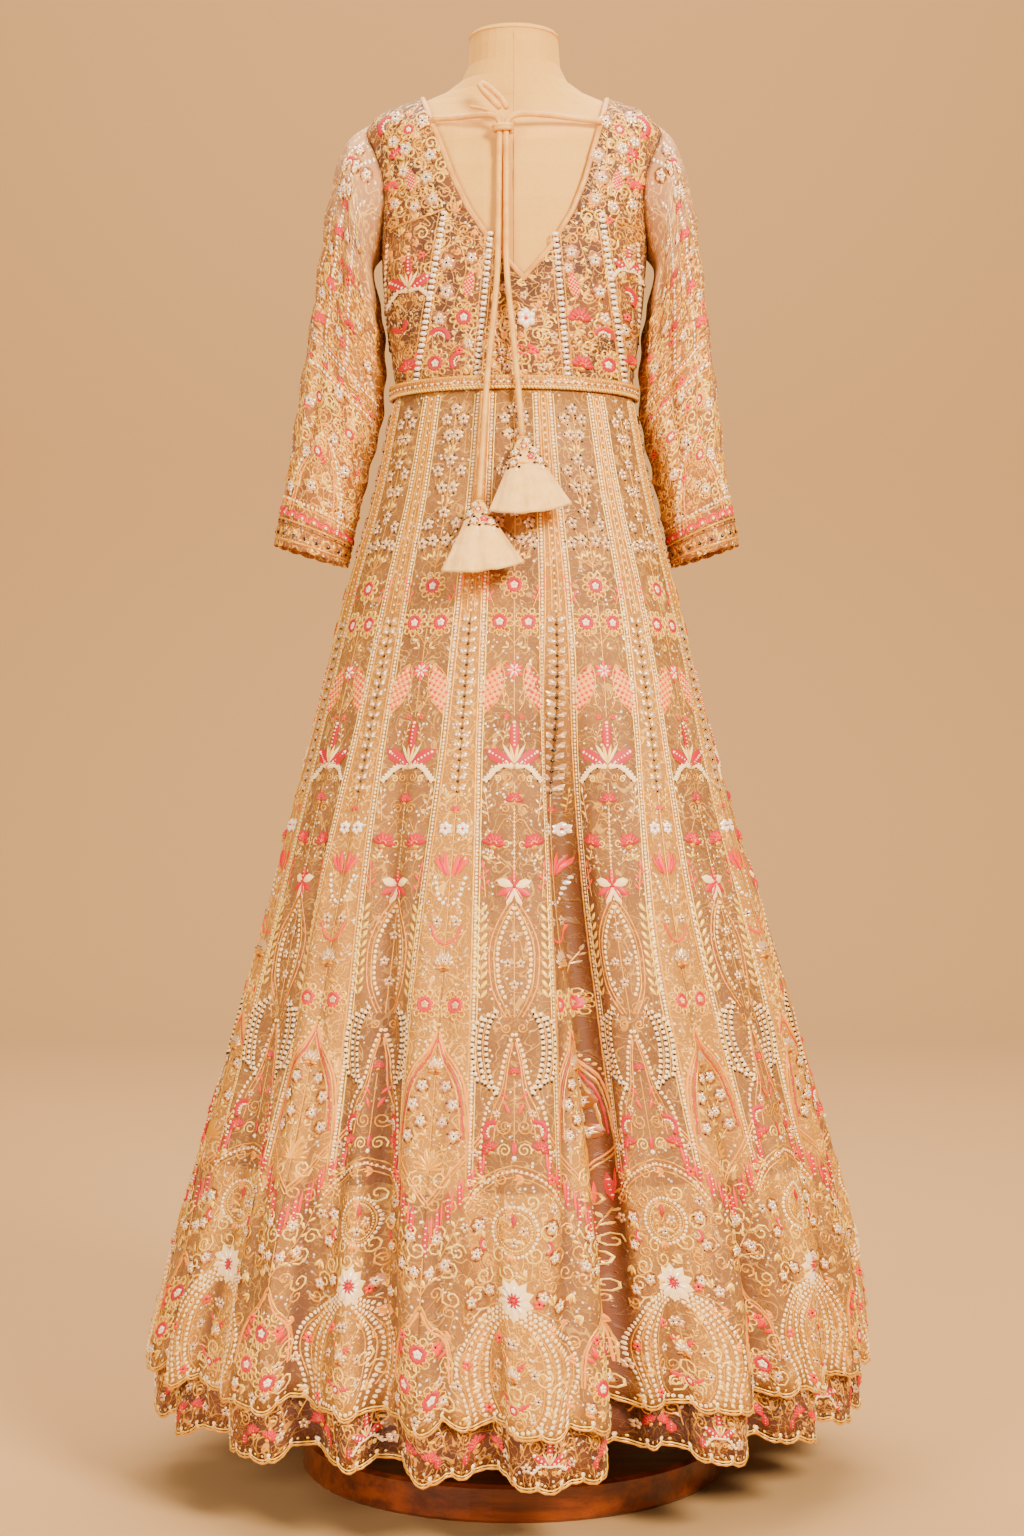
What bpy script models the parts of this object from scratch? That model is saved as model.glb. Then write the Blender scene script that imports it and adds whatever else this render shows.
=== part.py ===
"""An anarkali gown on a limbless dress form with a round wooden base.

Metres, +Z up. The origin is the middle of the base's underside. The gown's back faces -Y, so +X is
the wearer's right and the chest points to +Y. A turn is an angle round the body in degrees: 0 at the
centre back, positive towards +X, 180 at the centre front.
"""

import math

import bmesh
import bpy
import numpy as np
from mathutils import Vector

# Driving sizes
GAP = 0.0003  # between pieces that touch or are sewn together
CLOTH = 0.002  # thickness of an embroidered panel
BASE_RADIUS = 0.25
BASE_HEIGHT = 0.042
BASE_ROUNDING = 0.004
POLE_RADIUS = 0.016
COLLAR_RADIUS = 0.038
COLLAR_HEIGHT = 0.018
CLEAR_OF_FORM = 0.003  # from the form to the inside of the bodice
WAIST_HEIGHT = 1.263  # seam of bodice and skirt
HEM_HEIGHT = 0.145
UNDER_HEM_HEIGHT = 0.088
UNDER_CLEARANCE = 0.0105  # the under-skirt hangs this far inside the skirt
UNDER_HANG_HEIGHT = 1.235  # the under-skirt is sewn in just below the waist band
KALI_COUNT = 12
KALI_COLUMNS = 12  # facets across a panel, an even number
UNDER_COUNT = 6
UNDER_COLUMNS = 14
UNDER_CLOTH = 0.0015
BAND_RISE = 0.0115  # of the waist band above the waist seam
BAND_DROP = 0.0045
BAND_THICKNESS = 0.004
BAND_CLEARANCE = 0.001  # inside the band, all round
PIPING = 0.006  # width of the neckline's piping
CORD_RADIUS = 0.0035

# The torso form: how wide and deep it is at each height. Squareness is the exponent of the outline.
FORM_COLUMNS = ("height", "half_width", "back_depth", "front_depth", "squareness")
FORM_SECTIONS = (
    (0.955, 0.150, 0.112, 0.104, 2.2),
    (0.990, 0.161, 0.122, 0.112, 2.2),
    (1.060, 0.158, 0.117, 0.108, 2.2),
    (1.130, 0.143, 0.100, 0.100, 2.2),
    (1.190, 0.130, 0.088, 0.095, 2.05),
    (1.263, 0.133, 0.091, 0.101, 2.0),
    (1.330, 0.143, 0.097, 0.123, 2.1),
    (1.390, 0.150, 0.101, 0.136, 2.2),
    (1.450, 0.154, 0.103, 0.124, 2.2),
    (1.510, 0.161, 0.100, 0.102, 2.2),
    (1.550, 0.168, 0.088, 0.084, 2.2),
    (1.580, 0.168, 0.070, 0.067, 2.2),
    (1.596, 0.153, 0.058, 0.056, 2.1),
    (1.608, 0.121, 0.053, 0.052, 2.0),
    (1.621, 0.087, 0.052, 0.052, 2.0),
    (1.637, 0.064, 0.052, 0.053, 2.0),
    (1.658, 0.054, 0.0524, 0.053, 2.0),
    (1.690, 0.0524, 0.0524, 0.0524, 2.0),
    (1.695, 0.0505, 0.0505, 0.0505, 2.0),
)

# The skirt's outline round its ridges at each height. Folds are cut into it.
SKIRT_COLUMNS = ("height", "left_width", "right_width", "back_depth", "front_depth")
SKIRT_SECTIONS = (
    (1.263, 0.1415, 0.1415, 0.1000, 0.1120),
    (1.142, 0.1670, 0.1640, 0.1310, 0.1360),
    (1.035, 0.1975, 0.1905, 0.1620, 0.1640),
    (0.820, 0.2490, 0.2430, 0.2190, 0.2180),
    (0.535, 0.3225, 0.3280, 0.3010, 0.2980),
    (0.250, 0.4080, 0.4080, 0.3760, 0.3730),
    (0.145, 0.4340, 0.4210, 0.4010, 0.3980),
    (0.088, 0.4360, 0.4240, 0.4060, 0.4030),
)

# The hanging folds, one valley a row. Width is the valley's half-width in degrees at the hem, and a
# fold deepens from its start height down to its full height.
FOLD_COLUMNS = ("hem_turn", "waist_turn", "depth", "width", "start_height", "full_height")
FOLDS = (
    (-172.0, -170.0, 0.030, 4.4, 0.78, 0.05),
    (-157.0, -159.0, 0.038, 4.0, 0.92, 0.05),
    (-141.0, -143.0, 0.026, 4.6, 0.70, 0.05),
    (-126.0, -127.0, 0.040, 4.2, 0.95, 0.05),
    (-110.0, -111.0, 0.026, 4.4, 0.72, 0.05),
    (-97.0, -96.0, 0.024, 4.6, 0.75, 0.05),
    (-70.5, -72.0, 0.018, 4.0, 0.60, 0.05),
    (-54.0, -61.0, 0.030, 4.0, 0.88, 0.05),
    (-33.5, -41.0, 0.036, 3.6, 0.84, 0.05),
    (-20.5, -40.0, 0.034, 2.8, 0.98, 0.30),
    (-5.0, -12.0, 0.030, 3.0, 0.66, 0.05),
    (19.0, 10.5, 0.052, 4.2, 1.15, 0.60),
    (27.5, 33.0, 0.028, 3.0, 0.80, 0.05),
    (44.0, 42.0, 0.036, 3.6, 0.90, 0.05),
    (61.0, 59.0, 0.024, 4.2, 0.72, 0.05),
    (77.0, 78.0, 0.020, 4.0, 0.72, 0.05),
    (99.0, 97.0, 0.024, 4.6, 0.70, 0.05),
    (117.0, 115.0, 0.040, 4.0, 0.95, 0.05),
    (136.0, 138.0, 0.028, 4.4, 0.74, 0.05),
    (152.0, 150.0, 0.036, 4.0, 0.88, 0.05),
    (168.0, 167.0, 0.024, 4.0, 0.66, 0.05),
)

# A sleeve from armhole to cuff: its outer and inner edge in the front view, and its half-depth.
SLEEVE_COLUMNS = ("outer_x", "outer_z", "inner_x", "inner_z", "half_depth", "centre_y")
SLEEVE_SECTIONS = (
    (0.1920, 1.563, 0.1670, 1.415, 0.062, 0.000),
    (0.2085, 1.500, 0.1635, 1.388, 0.060, 0.002),
    (0.2185, 1.440, 0.1590, 1.358, 0.057, 0.004),
    (0.2270, 1.385, 0.1550, 1.328, 0.054, 0.006),
    (0.2340, 1.325, 0.1515, 1.290, 0.051, 0.009),
    (0.2410, 1.265, 0.1525, 1.240, 0.049, 0.012),
    (0.2490, 1.200, 0.1660, 1.182, 0.047, 0.013),
    (0.2590, 1.140, 0.1780, 1.116, 0.045, 0.012),
)
CUFF_BOTTOM = (0.2690, 1.088, 0.1880, 1.062, 0.046, 0.011)
LEFT_FULLER = 0.008  # the left sleeve's outer edge stands this much further out
LEFT_SWING = 0.010  # and its cuff hangs this much further out again

# The back neckline: half its width at each height, from the V's point to the shoulder seam
NECKLINE = (
    (1.382, 0.0),
    (1.4205, 0.0356),
    (1.464, 0.0632),
    (1.499, 0.0788),
    (1.573, 0.1035),
    (1.612, 0.1160),
)
CENTRE_SHIFT = 0.0115  # the gown sits a little turned: its back middle is this far to +X at the V's point
SHIFT_FADES = 0.046  # the shift lessens by this much a metre upwards, and stays below
ARM_SHOULDER_HEIGHT = 1.589  # arm end of the shoulder seam
UNDERARM_HEIGHT = 1.428
YOKE_NECK_HEIGHT = 1.464
YOKE_ARM_HEIGHT = 1.450
ROW_OUTER_TOP = 0.0943  # half-width of the outer bead rows at the yoke seam
ROW_OUTER_BOTTOM = 0.1220
ROW_INNER_TOP = 0.0372  # half-width of the inner bead rows at the neckline
ROW_INNER_BOTTOM = 0.0530
ARMHOLE_BACK_TURN = 24.0  # how far the armhole's back edge comes round from the side
ARMHOLE_FRONT_TURN = 28.0
FRONT_V_HEIGHT = 1.470
FRONT_ROWS = 12  # facets up a front panel, even, half of them along the neckline

ARMHOLE_STEP = 0.003  # the sleeve starts this far outside the armhole's edge

# The dori: each cord runs from the neckline to the knot and hangs down the back
CORD_ROUTES = {
    "dori_left": (
        (-0.0945, -0.0735, 1.5760),
        (-0.0700, -0.0800, 1.5755),
        (-0.0440, -0.0900, 1.5757),
        (-0.0240, -0.0950, 1.5745),
        (-0.0172, -0.0960, 1.5660),
        (-0.0170, -0.0990, 1.5450),
        (-0.0175, -0.1065, 1.5000),
        (-0.0180, -0.1100, 1.4500),
        (-0.0195, -0.1115, 1.3880),
        (-0.0245, -0.1120, 1.3300),
        (-0.0310, -0.1125, 1.2660),
        (-0.0345, -0.1240, 1.2100),
        (-0.0375, -0.1360, 1.1600),
        (-0.0395, -0.1435, 1.1270),
    ),
    "dori_right": (
        (0.1020, -0.0738, 1.5725),
        (0.0700, -0.0818, 1.5745),
        (0.0300, -0.0915, 1.5765),
        (0.0030, -0.0950, 1.5755),
        (-0.0085, -0.0960, 1.5660),
        (-0.0088, -0.0990, 1.5450),
        (-0.0090, -0.1065, 1.5000),
        (-0.0090, -0.1100, 1.4500),
        (-0.0080, -0.1115, 1.3880),
        (-0.0020, -0.1120, 1.3300),
        (0.0040, -0.1125, 1.2660),
        (0.0075, -0.1220, 1.2250),
        (0.0090, -0.1280, 1.2010),
    ),
    "dori_bow": (
        (-0.0165, -0.0930, 1.5840),
        (-0.0240, -0.0890, 1.5920),
        (-0.0350, -0.0800, 1.6060),
        (-0.0400, -0.0740, 1.6150),
        (-0.0350, -0.0730, 1.6170),
        (-0.0250, -0.0790, 1.6080),
        (-0.0140, -0.0870, 1.5950),
        (-0.0085, -0.0930, 1.5840),
    ),
}
KNOT = (-0.01285, -0.0970, 1.5590)
KNOT_INNER = (0.0086, 0.0044)
KNOT_THICKNESS = 0.0028

# Each tassel's top and foot, and how far its foot leans in the front view
TASSELS = (
    ("tassel_left", (-0.0400, -0.1445, 1.1240), (-0.0360, -0.1830, 1.0480), 14.0),
    ("tassel_right", (0.0095, -0.1290, 1.1985), (0.0180, -0.1640, 1.1165), 2.0),
)
TASSEL_PROFILE = ((0.0, 0.005, 0.005), (0.12, 0.010, 0.009), (0.55, 0.027, 0.016), (1.0, 0.044, 0.020))

# Finishes: colour, roughness, metallic
FINISHES = {
    "net": ((0.72, 0.55, 0.38), 0.62, 0.0),
    "under_net": ((0.66, 0.52, 0.40), 0.66, 0.0),
    "piping": ((0.86, 0.68, 0.52), 0.55, 0.0),
    "gold_braid": ((0.70, 0.48, 0.22), 0.42, 0.55),
    "dori": ((0.88, 0.72, 0.56), 0.55, 0.0),
    "tassel": ((0.86, 0.76, 0.62), 0.70, 0.0),
    "form_cloth": ((0.72, 0.60, 0.42), 0.85, 0.0),
    "pole_metal": ((0.45, 0.44, 0.42), 0.35, 1.0),
    "walnut": ((0.16, 0.07, 0.03), 0.34, 0.0),
}


def clear_scene():
    for thing in list(bpy.data.objects):
        bpy.data.objects.remove(thing, do_unlink=True)


def finish(name):
    """The material called name, made on first use."""
    found = bpy.data.materials.get(name)
    if found:
        return found
    colour, roughness, metallic = FINISHES[name]
    made = bpy.data.materials.new(name)
    made.use_nodes = True
    shader = made.node_tree.nodes["Principled BSDF"]
    shader.inputs["Base Color"].default_value = (*colour, 1.0)
    shader.inputs["Roughness"].default_value = roughness
    shader.inputs["Metallic"].default_value = metallic
    return made


def add_piece(name, points, faces, finish_name):
    """A mesh object with outward faces."""
    mesh = bpy.data.meshes.new(name)
    mesh.from_pydata([tuple(p) for p in points], [], faces)
    solid = bmesh.new()
    solid.from_mesh(mesh)
    bmesh.ops.recalc_face_normals(solid, faces=solid.faces)
    solid.to_mesh(mesh)
    solid.free()
    mesh.shade_smooth()
    mesh.set_sharp_from_angle(angle=math.radians(40))
    mesh.materials.append(finish(finish_name))
    piece = bpy.data.objects.new(name, mesh)
    bpy.context.collection.objects.link(piece)
    return piece


# ---------------------------------------------------------------- tables and curves


def smooth_table(columns, rows, at):
    """Each column of a table at the value `at` of its first column, on smooth curves between rows."""
    table = np.array(sorted(rows))
    knots = table[:, 0]
    slopes = np.gradient(table, knots, axis=0)
    at = float(np.clip(at, knots[0], knots[-1]))
    i = int(np.clip(np.searchsorted(knots, at) - 1, 0, len(knots) - 2))
    step = knots[i + 1] - knots[i]
    t = (at - knots[i]) / step
    value = (
        (2 * t**3 - 3 * t**2 + 1) * table[i]
        + (t**3 - 2 * t**2 + t) * step * slopes[i]
        + (3 * t**2 - 2 * t**3) * table[i + 1]
        + (t**3 - t**2) * step * slopes[i + 1]
    )
    return dict(zip(columns, value))


def smooth_step(value, low, high):
    t = np.clip((value - low) / (high - low), 0.0, 1.0)
    return t * t * (3.0 - 2.0 * t)


def smooth_path(points, count):
    """count points, evenly spaced along a smooth curve through the given ones."""
    knots = [Vector(p) for p in points]
    knots = [2 * knots[0] - knots[1], *knots, 2 * knots[-1] - knots[-2]]
    fine = []
    for a, b, c, d in zip(knots, knots[1:], knots[2:], knots[3:]):
        bend, twist = 2 * a - 5 * b + 4 * c - d, 3 * b - a - 3 * c + d
        for i in range(24):
            t = i / 24
            fine.append(0.5 * (2 * b + (c - a) * t + bend * t**2 + twist * t**3))
    fine.append(knots[-2])
    fine = np.array([tuple(p) for p in fine])
    along = np.concatenate([[0.0], np.cumsum(np.linalg.norm(np.diff(fine, axis=0), axis=1))])
    even = np.linspace(0.0, along[-1], count)
    return np.stack([np.interp(even, along, fine[:, k]) for k in range(3)], axis=1)


# ---------------------------------------------------------------- walls made from grids


def grid_normals(grid, closed):
    """Unit normals of a grid of points, rows by columns, whose columns may close into a ring."""
    if closed:
        across = np.roll(grid, -1, axis=1) - np.roll(grid, 1, axis=1)
    else:
        across = np.gradient(grid, axis=1)
    down = np.gradient(grid, axis=0)
    normal = np.cross(across, down)
    return normal / np.linalg.norm(normal, axis=2, keepdims=True)


def add_shell(name, outer, inner, finish_name, closed=False):
    """A closed wall between two grids of points, an outer and an inner face."""
    rows, columns, _ = outer.shape
    points = np.concatenate([outer.reshape(-1, 3), inner.reshape(-1, 3)])
    back = rows * columns

    def number(row, column):
        return row * columns + column % columns

    spans = columns if closed else columns - 1
    faces = []
    for r in range(rows - 1):
        for c in range(spans):
            a, b, d, e = number(r, c), number(r, c + 1), number(r + 1, c + 1), number(r + 1, c)
            # both faces are split along the same diagonal, the shorter one
            if math.dist(points[a], points[d]) < math.dist(points[b], points[e]):
                split = ((a, b, d), (a, d, e))
            else:
                split = ((a, b, e), (b, d, e))
            for one, two, three in split:
                faces.append((one, two, three))
                faces.append((back + three, back + two, back + one))
    for c in range(spans):
        a, b = number(0, c), number(0, c + 1)
        faces.append((b, a, back + a, back + b))
        a, b = number(rows - 1, c), number(rows - 1, c + 1)
        faces.append((a, b, back + b, back + a))
    if not closed:
        for r in range(rows - 1):
            a, b = number(r, 0), number(r + 1, 0)
            faces += [(a, b, back + b), (a, back + b, back + a)]
            a, b = number(r, columns - 1), number(r + 1, columns - 1)
            faces += [(b, a, back + b), (a, back + a, back + b)]
    return add_piece(name, points, faces, finish_name)


def add_tube_wall(name, grid, thickness, finish_name):
    """A wall that closes into a tube, with grid as its outer face: rows run down, columns run round."""
    normal = grid_normals(grid, closed=True)
    if np.sum(normal * (grid - grid.mean(axis=(0, 1)))) < 0:
        normal = -normal
    return add_shell(name, grid, grid - normal * thickness, finish_name, closed=True)


def add_lathe(name, profile, finish_name, segments):
    """A solid turned round the Z axis from (radius, height) points, from its bottom to its top."""
    points = []
    for radius, height in profile:
        for i in range(segments):
            angle = 2 * math.pi * i / segments
            points.append((radius * math.cos(angle), radius * math.sin(angle), height))
    faces = [tuple(reversed(range(segments)))]
    for r in range(len(profile) - 1):
        for i in range(segments):
            j = (i + 1) % segments
            faces.append(
                (r * segments + i, r * segments + j, (r + 1) * segments + j, (r + 1) * segments + i)
            )
    top = (len(profile) - 1) * segments
    faces.append(tuple(range(top, top + segments)))
    return add_piece(name, points, faces, finish_name)


# ---------------------------------------------------------------- stand


def form_point(turn, height):
    """A point on the torso form's surface at this turn and height."""
    row = smooth_table(FORM_COLUMNS, FORM_SECTIONS, height)
    sine, cosine = math.sin(math.radians(turn)), math.cos(math.radians(turn))
    depth = row["back_depth"] if cosine > 0 else row["front_depth"]
    power = 2.0 / row["squareness"]
    return np.array(
        (
            math.copysign(row["half_width"] * abs(sine) ** power, sine),
            -math.copysign(depth * abs(cosine) ** power, cosine),
            height,
        )
    )


def form_normal(turn, height):
    """The form's outward normal there."""
    around = form_point(turn + 1.0, height) - form_point(turn - 1.0, height)
    up = form_point(turn, height + 0.001) - form_point(turn, height - 0.001)
    normal = np.cross(around, up)
    return normal / np.linalg.norm(normal)


def make_form():
    """The torso with its neck, from a flat underside to a flat neck top."""
    segments = 32
    heights = [0.955, 0.97, 1.0, 1.05, 1.10, 1.15, 1.20, 1.263, 1.32, 1.38, 1.43, 1.48, 1.52, 1.55]
    heights += [1.567, 1.58, 1.59, 1.6, 1.61, 1.622, 1.637, 1.655, 1.675, 1.69, 1.695]
    points = [form_point(i * 360 / segments, h) for h in heights for i in range(segments)]
    faces = [tuple(reversed(range(segments)))]
    for r in range(len(heights) - 1):
        for i in range(segments):
            j = (i + 1) % segments
            faces.append((r * segments + i, r * segments + j, (r + 1) * segments + j, (r + 1) * segments + i))
    top = (len(heights) - 1) * segments
    faces.append(tuple(range(top, top + segments)))
    add_piece("dress_form", points, faces, "form_cloth")


def make_base():
    profile = [(BASE_RADIUS - BASE_ROUNDING, 0.0), (BASE_RADIUS, BASE_ROUNDING)]
    profile += [(BASE_RADIUS, BASE_HEIGHT - BASE_ROUNDING), (BASE_RADIUS - BASE_ROUNDING, BASE_HEIGHT)]
    add_lathe("base_disc", profile, "walnut", 64)


def make_pole():
    """The pole and the collar that fastens it to the base, turned in one."""
    foot = BASE_HEIGHT + GAP
    profile = [
        (COLLAR_RADIUS, foot),
        (COLLAR_RADIUS, foot + 0.6 * COLLAR_HEIGHT),
        (POLE_RADIUS, foot + COLLAR_HEIGHT),
        (POLE_RADIUS, FORM_SECTIONS[0][0] - GAP),
    ]
    add_lathe("pole", profile, "pole_metal", 20)


# ---------------------------------------------------------------- skirt


def skirt_ring(height, inset=0.0, samples=1440, ease=1.0):
    """The skirt's outline at one height as a closed loop of points, and how far along each one is.

    The loop starts at the centre front and runs past the centre back. Ease widens the folds.
    """
    row = smooth_table(SKIRT_COLUMNS, SKIRT_SECTIONS, height)
    turn = np.linspace(-180.0, 180.0, samples, endpoint=False)
    sine, cosine = np.sin(np.radians(turn)), np.cos(np.radians(turn))
    width = np.where(sine < 0, row["left_width"], row["right_width"])
    depth = np.where(cosine > 0, row["back_depth"], row["front_depth"])
    down = (WAIST_HEIGHT - height) / (WAIST_HEIGHT - HEM_HEIGHT)
    cut = np.zeros(samples)
    for values in FOLDS:
        fold = dict(zip(FOLD_COLUMNS, values))
        centre = fold["waist_turn"] + (fold["hem_turn"] - fold["waist_turn"]) * min(down, 1.05)
        away = (turn - centre + 180.0) % 360.0 - 180.0
        grown = 1.0 - smooth_step(height, fold["full_height"], fold["start_height"])
        breadth = fold["width"] * (1.35 - 0.35 * grown) * ease
        shape = 0.62 * np.exp(-((away / breadth) ** 2)) + 0.38 * np.exp(-((away / (2.3 * breadth)) ** 2))
        cut += fold["depth"] * grown * shape
    x = width * sine * (1.0 - (cut + inset) / width)
    y = -depth * cosine * (1.0 - (cut + inset) / depth)
    loop = np.stack([x, y, np.full(samples, height)], axis=1)
    steps = np.linalg.norm(np.roll(loop, -1, axis=0) - loop, axis=1)
    return loop, np.concatenate([[0.0], np.cumsum(steps)])


def skirt_row(height, inset, columns, ease=1.0):
    """Points on the ring at one height, evenly spaced along it from the centre back towards +X."""
    loop, along = skirt_ring(height, inset, ease=ease)
    loop = np.concatenate([loop, loop[:1]])
    centre_back = along[len(along) // 2]
    wanted = (np.arange(columns) / columns * along[-1] + centre_back) % along[-1]
    return np.stack([np.interp(wanted, along, loop[:, k]) for k in range(3)], axis=1)


def add_ring_panels(prefix, rings, panels, gap, thickness, finish_name):
    """Cuts a tube of rings into equal panels, a gap apart, the first one centred on the back."""
    columns = rings.shape[1] // panels
    inwards = -rings * (1.0, 1.0, 0.0)
    inwards /= np.linalg.norm(inwards, axis=2, keepdims=True)
    along = np.roll(rings, -1, axis=1) - np.roll(rings, 1, axis=1)
    along /= np.linalg.norm(along, axis=2, keepdims=True)
    for panel in range(panels):
        taken = (np.arange(columns + 1) + panel * columns - columns // 2) % rings.shape[1]
        outer = rings[:, taken].copy()
        outer[:, 0] += along[:, taken[0]] * 0.5 * gap
        outer[:, -1] -= along[:, taken[-1]] * 0.5 * gap
        inner = outer + inwards[:, taken] * thickness
        add_shell(f"{prefix}_{panel + 1:02d}", outer, inner, finish_name)


def make_kalis():
    """The skirt's flared panels: each takes the same share of the ring at every height."""
    heights = [WAIST_HEIGHT - 0.003, 1.160, 1.040, 0.880, 0.700, 0.500, 0.310, HEM_HEIGHT]
    rings = np.array([skirt_row(height, 0.0, KALI_COUNT * KALI_COLUMNS) for height in heights])
    add_ring_panels("kali", rings, KALI_COUNT, GAP, CLOTH, "net")


def make_under_skirt():
    heights = [UNDER_HANG_HEIGHT, 1.04, 0.80, 0.56, 0.32, UNDER_HEM_HEIGHT]
    rings = []
    for height in heights:
        closeness = 0.45 + 0.55 * float(smooth_step(UNDER_HANG_HEIGHT - height, 0.0, 0.25))
        rings.append(skirt_row(height, UNDER_CLEARANCE * closeness, UNDER_COUNT * UNDER_COLUMNS, 1.3))
    add_ring_panels("under_skirt", np.array(rings), UNDER_COUNT, 2 * GAP, UNDER_CLOTH, "under_net")


# ---------------------------------------------------------------- bodice


def bodice_point(turn, height, lift=0.0):
    """A point on the bodice's face, or lift above it."""
    clearance = CLEAR_OF_FORM + CLOTH + lift
    return form_point(turn, height) + form_normal(turn, height) * clearance


def bodice_wall(name, patch):
    """A bodice panel from a (turn, height) grid, with its inner face CLOTH under its face."""
    face = np.array([[bodice_point(t, h) for t, h in row] for row in patch])
    inner = np.array([[bodice_point(t, h, -CLOTH) for t, h in row] for row in patch])
    add_shell(name, face, inner, "net")


def back_turn(x, height):
    """The turn at which the back of the bodice is x from the middle, in the front view."""
    row = smooth_table(FORM_COLUMNS, FORM_SECTIONS, height)
    share = min(abs(x) / (row["half_width"] + CLEAR_OF_FORM + CLOTH), 1.0)
    return math.copysign(math.degrees(math.asin(share ** (row["squareness"] / 2.0))), x)


def centre_shift(height):
    """How far the back's middle line is towards +X at a height."""
    return CENTRE_SHIFT - SHIFT_FADES * max(height - NECKLINE[0][0], 0.0)


def neck_x(height, side):
    return side * np.interp(height, *zip(*NECKLINE)) + centre_shift(height)


def neck_height(x):
    """The height of the back neckline at x."""
    side = 1 if x > CENTRE_SHIFT else -1
    heights = [height for height, _ in NECKLINE]
    return float(np.interp(side * x, [side * neck_x(h, side) for h in heights], heights))


def neck_corner(x):
    return back_turn(x, neck_height(x)), neck_height(x)


def armhole(share, side, deepest=ARMHOLE_BACK_TURN):
    """The armhole's edge as (turn, height), from the underarm at 0 to the shoulder at 1."""
    height = UNDERARM_HEIGHT + (ARM_SHOULDER_HEIGHT - UNDERARM_HEIGHT) * share
    return side * (90.0 - deepest * math.sin(math.pi * share) ** 0.8), height


YOKE_SHARE = (YOKE_ARM_HEIGHT - UNDERARM_HEIGHT) / (ARM_SHOULDER_HEIGHT - UNDERARM_HEIGHT)


def yoke_height(turn):
    """The height of the yoke seam at a turn; outside its end the armhole falls to the underarm."""
    near = abs(back_turn(neck_x(YOKE_NECK_HEIGHT, math.copysign(1, turn)), YOKE_NECK_HEIGHT))
    far = armhole(YOKE_SHARE, 1)[0]
    turn = abs(turn)
    if turn <= far:
        return YOKE_NECK_HEIGHT + (YOKE_ARM_HEIGHT - YOKE_NECK_HEIGHT) * (turn - near) / (far - near)
    return YOKE_ARM_HEIGHT + (UNDERARM_HEIGHT - YOKE_ARM_HEIGHT) * (turn - far) / (90.0 - far)


def spread(knots, counts):
    """Values from the first knot to the last, with the given number of steps between each two."""
    values = [knots[0]]
    for a, b, count in zip(knots, knots[1:], counts):
        values += [a + (b - a) * i / count for i in range(1, count + 1)]
    return values


def add_back_panel(name, bottom_turns, top, rows=6):
    """A panel whose straight columns run from the waist seam to its top (turn, height) points."""
    bottom = WAIST_HEIGHT + 0.5 * GAP
    patch = []
    for r in range(rows):
        up = 1.0 - r / (rows - 1)
        columns = zip(bottom_turns, top)
        patch.append([(t0 + (t1 - t0) * up, bottom + (h1 - bottom) * up) for t0, (t1, h1) in columns])
    bodice_wall(name, patch)


def waist_turn(half_width, side):
    """The turn of a bead row's end at the waist."""
    return back_turn(side * half_width + centre_shift(WAIST_HEIGHT), WAIST_HEIGHT)


def make_back_bodice():
    """Centre, middle and side panels under the yokes. Seams leave half a gap on each side."""
    seam = math.degrees(0.5 * GAP / 0.09)
    rise = 0.5 * GAP
    inner_x = [side * ROW_INNER_TOP + centre_shift(YOKE_NECK_HEIGHT) for side in (-1, 1)]
    top = [neck_corner(x) for x in spread((inner_x[0], CENTRE_SHIFT, inner_x[1]), (4, 4))]
    top[0] = (top[0][0] + seam, top[0][1])
    top[-1] = (top[-1][0] - seam, top[-1][1])
    ends = (waist_turn(ROW_INNER_BOTTOM, -1) + seam, waist_turn(ROW_INNER_BOTTOM, 1) - seam)
    add_back_panel("back_centre", spread(ends, (8,)), top)
    for side, word in ((-1, "left"), (1, "right")):
        gap = side * seam
        corner_x = neck_x(YOKE_NECK_HEIGHT, side)
        near_x = inner_x[side > 0]
        row_turn = back_turn(side * ROW_OUTER_TOP + centre_shift(YOKE_NECK_HEIGHT), YOKE_NECK_HEIGHT)
        along_neck = [neck_corner(x) for x in spread((near_x, corner_x), (3,))]
        along_neck[0] = (along_neck[0][0] + gap, along_neck[0][1])
        along_yoke = [(t, yoke_height(t)) for t in spread((along_neck[-1][0], row_turn - gap), (2,))[1:]]
        top = [(t, h - rise) for t, h in along_neck + along_yoke]
        ends = (waist_turn(ROW_INNER_BOTTOM, side) + gap, waist_turn(ROW_OUTER_BOTTOM, side) - gap)
        add_back_panel(f"back_middle_{word}", spread(ends, (5,)), top)

        arm_turn = armhole(YOKE_SHARE, side)[0]
        turns = spread((row_turn + gap, arm_turn, side * 90.0 - gap), (4, 1))
        top = [(t, yoke_height(t) - rise) for t in turns]
        ends = (waist_turn(ROW_OUTER_BOTTOM, side) + gap, side * 90.0 - gap)
        add_back_panel(f"back_side_{word}", spread(ends, (5,)), top)


def blend_patch(bottom, top, near, far, rows, columns):
    """A grid of (turn, height) between four edges, each a function of 0 to 1.

    bottom and top run from near to far, near and far run from bottom to top.
    """
    corners = [np.array(edge(end)) for edge in (bottom, top) for end in (0.0, 1.0)]
    grid = []
    for r in range(rows):
        v = 1.0 - r / (rows - 1)
        row = []
        for c in range(columns):
            u = c / (columns - 1)
            between = (1 - u) * np.array(near(v)) + u * np.array(far(v))
            between = between + (1 - v) * np.array(bottom(u)) + v * np.array(top(u))
            row.append(
                between
                - (1 - v) * ((1 - u) * corners[0] + u * corners[1])
                - v * ((1 - u) * corners[2] + u * corners[3])
            )
        grid.append(row)
    return grid


def straight(start, end):
    start, end = np.array(start), np.array(end)
    return lambda t: start + (end - start) * t


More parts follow.
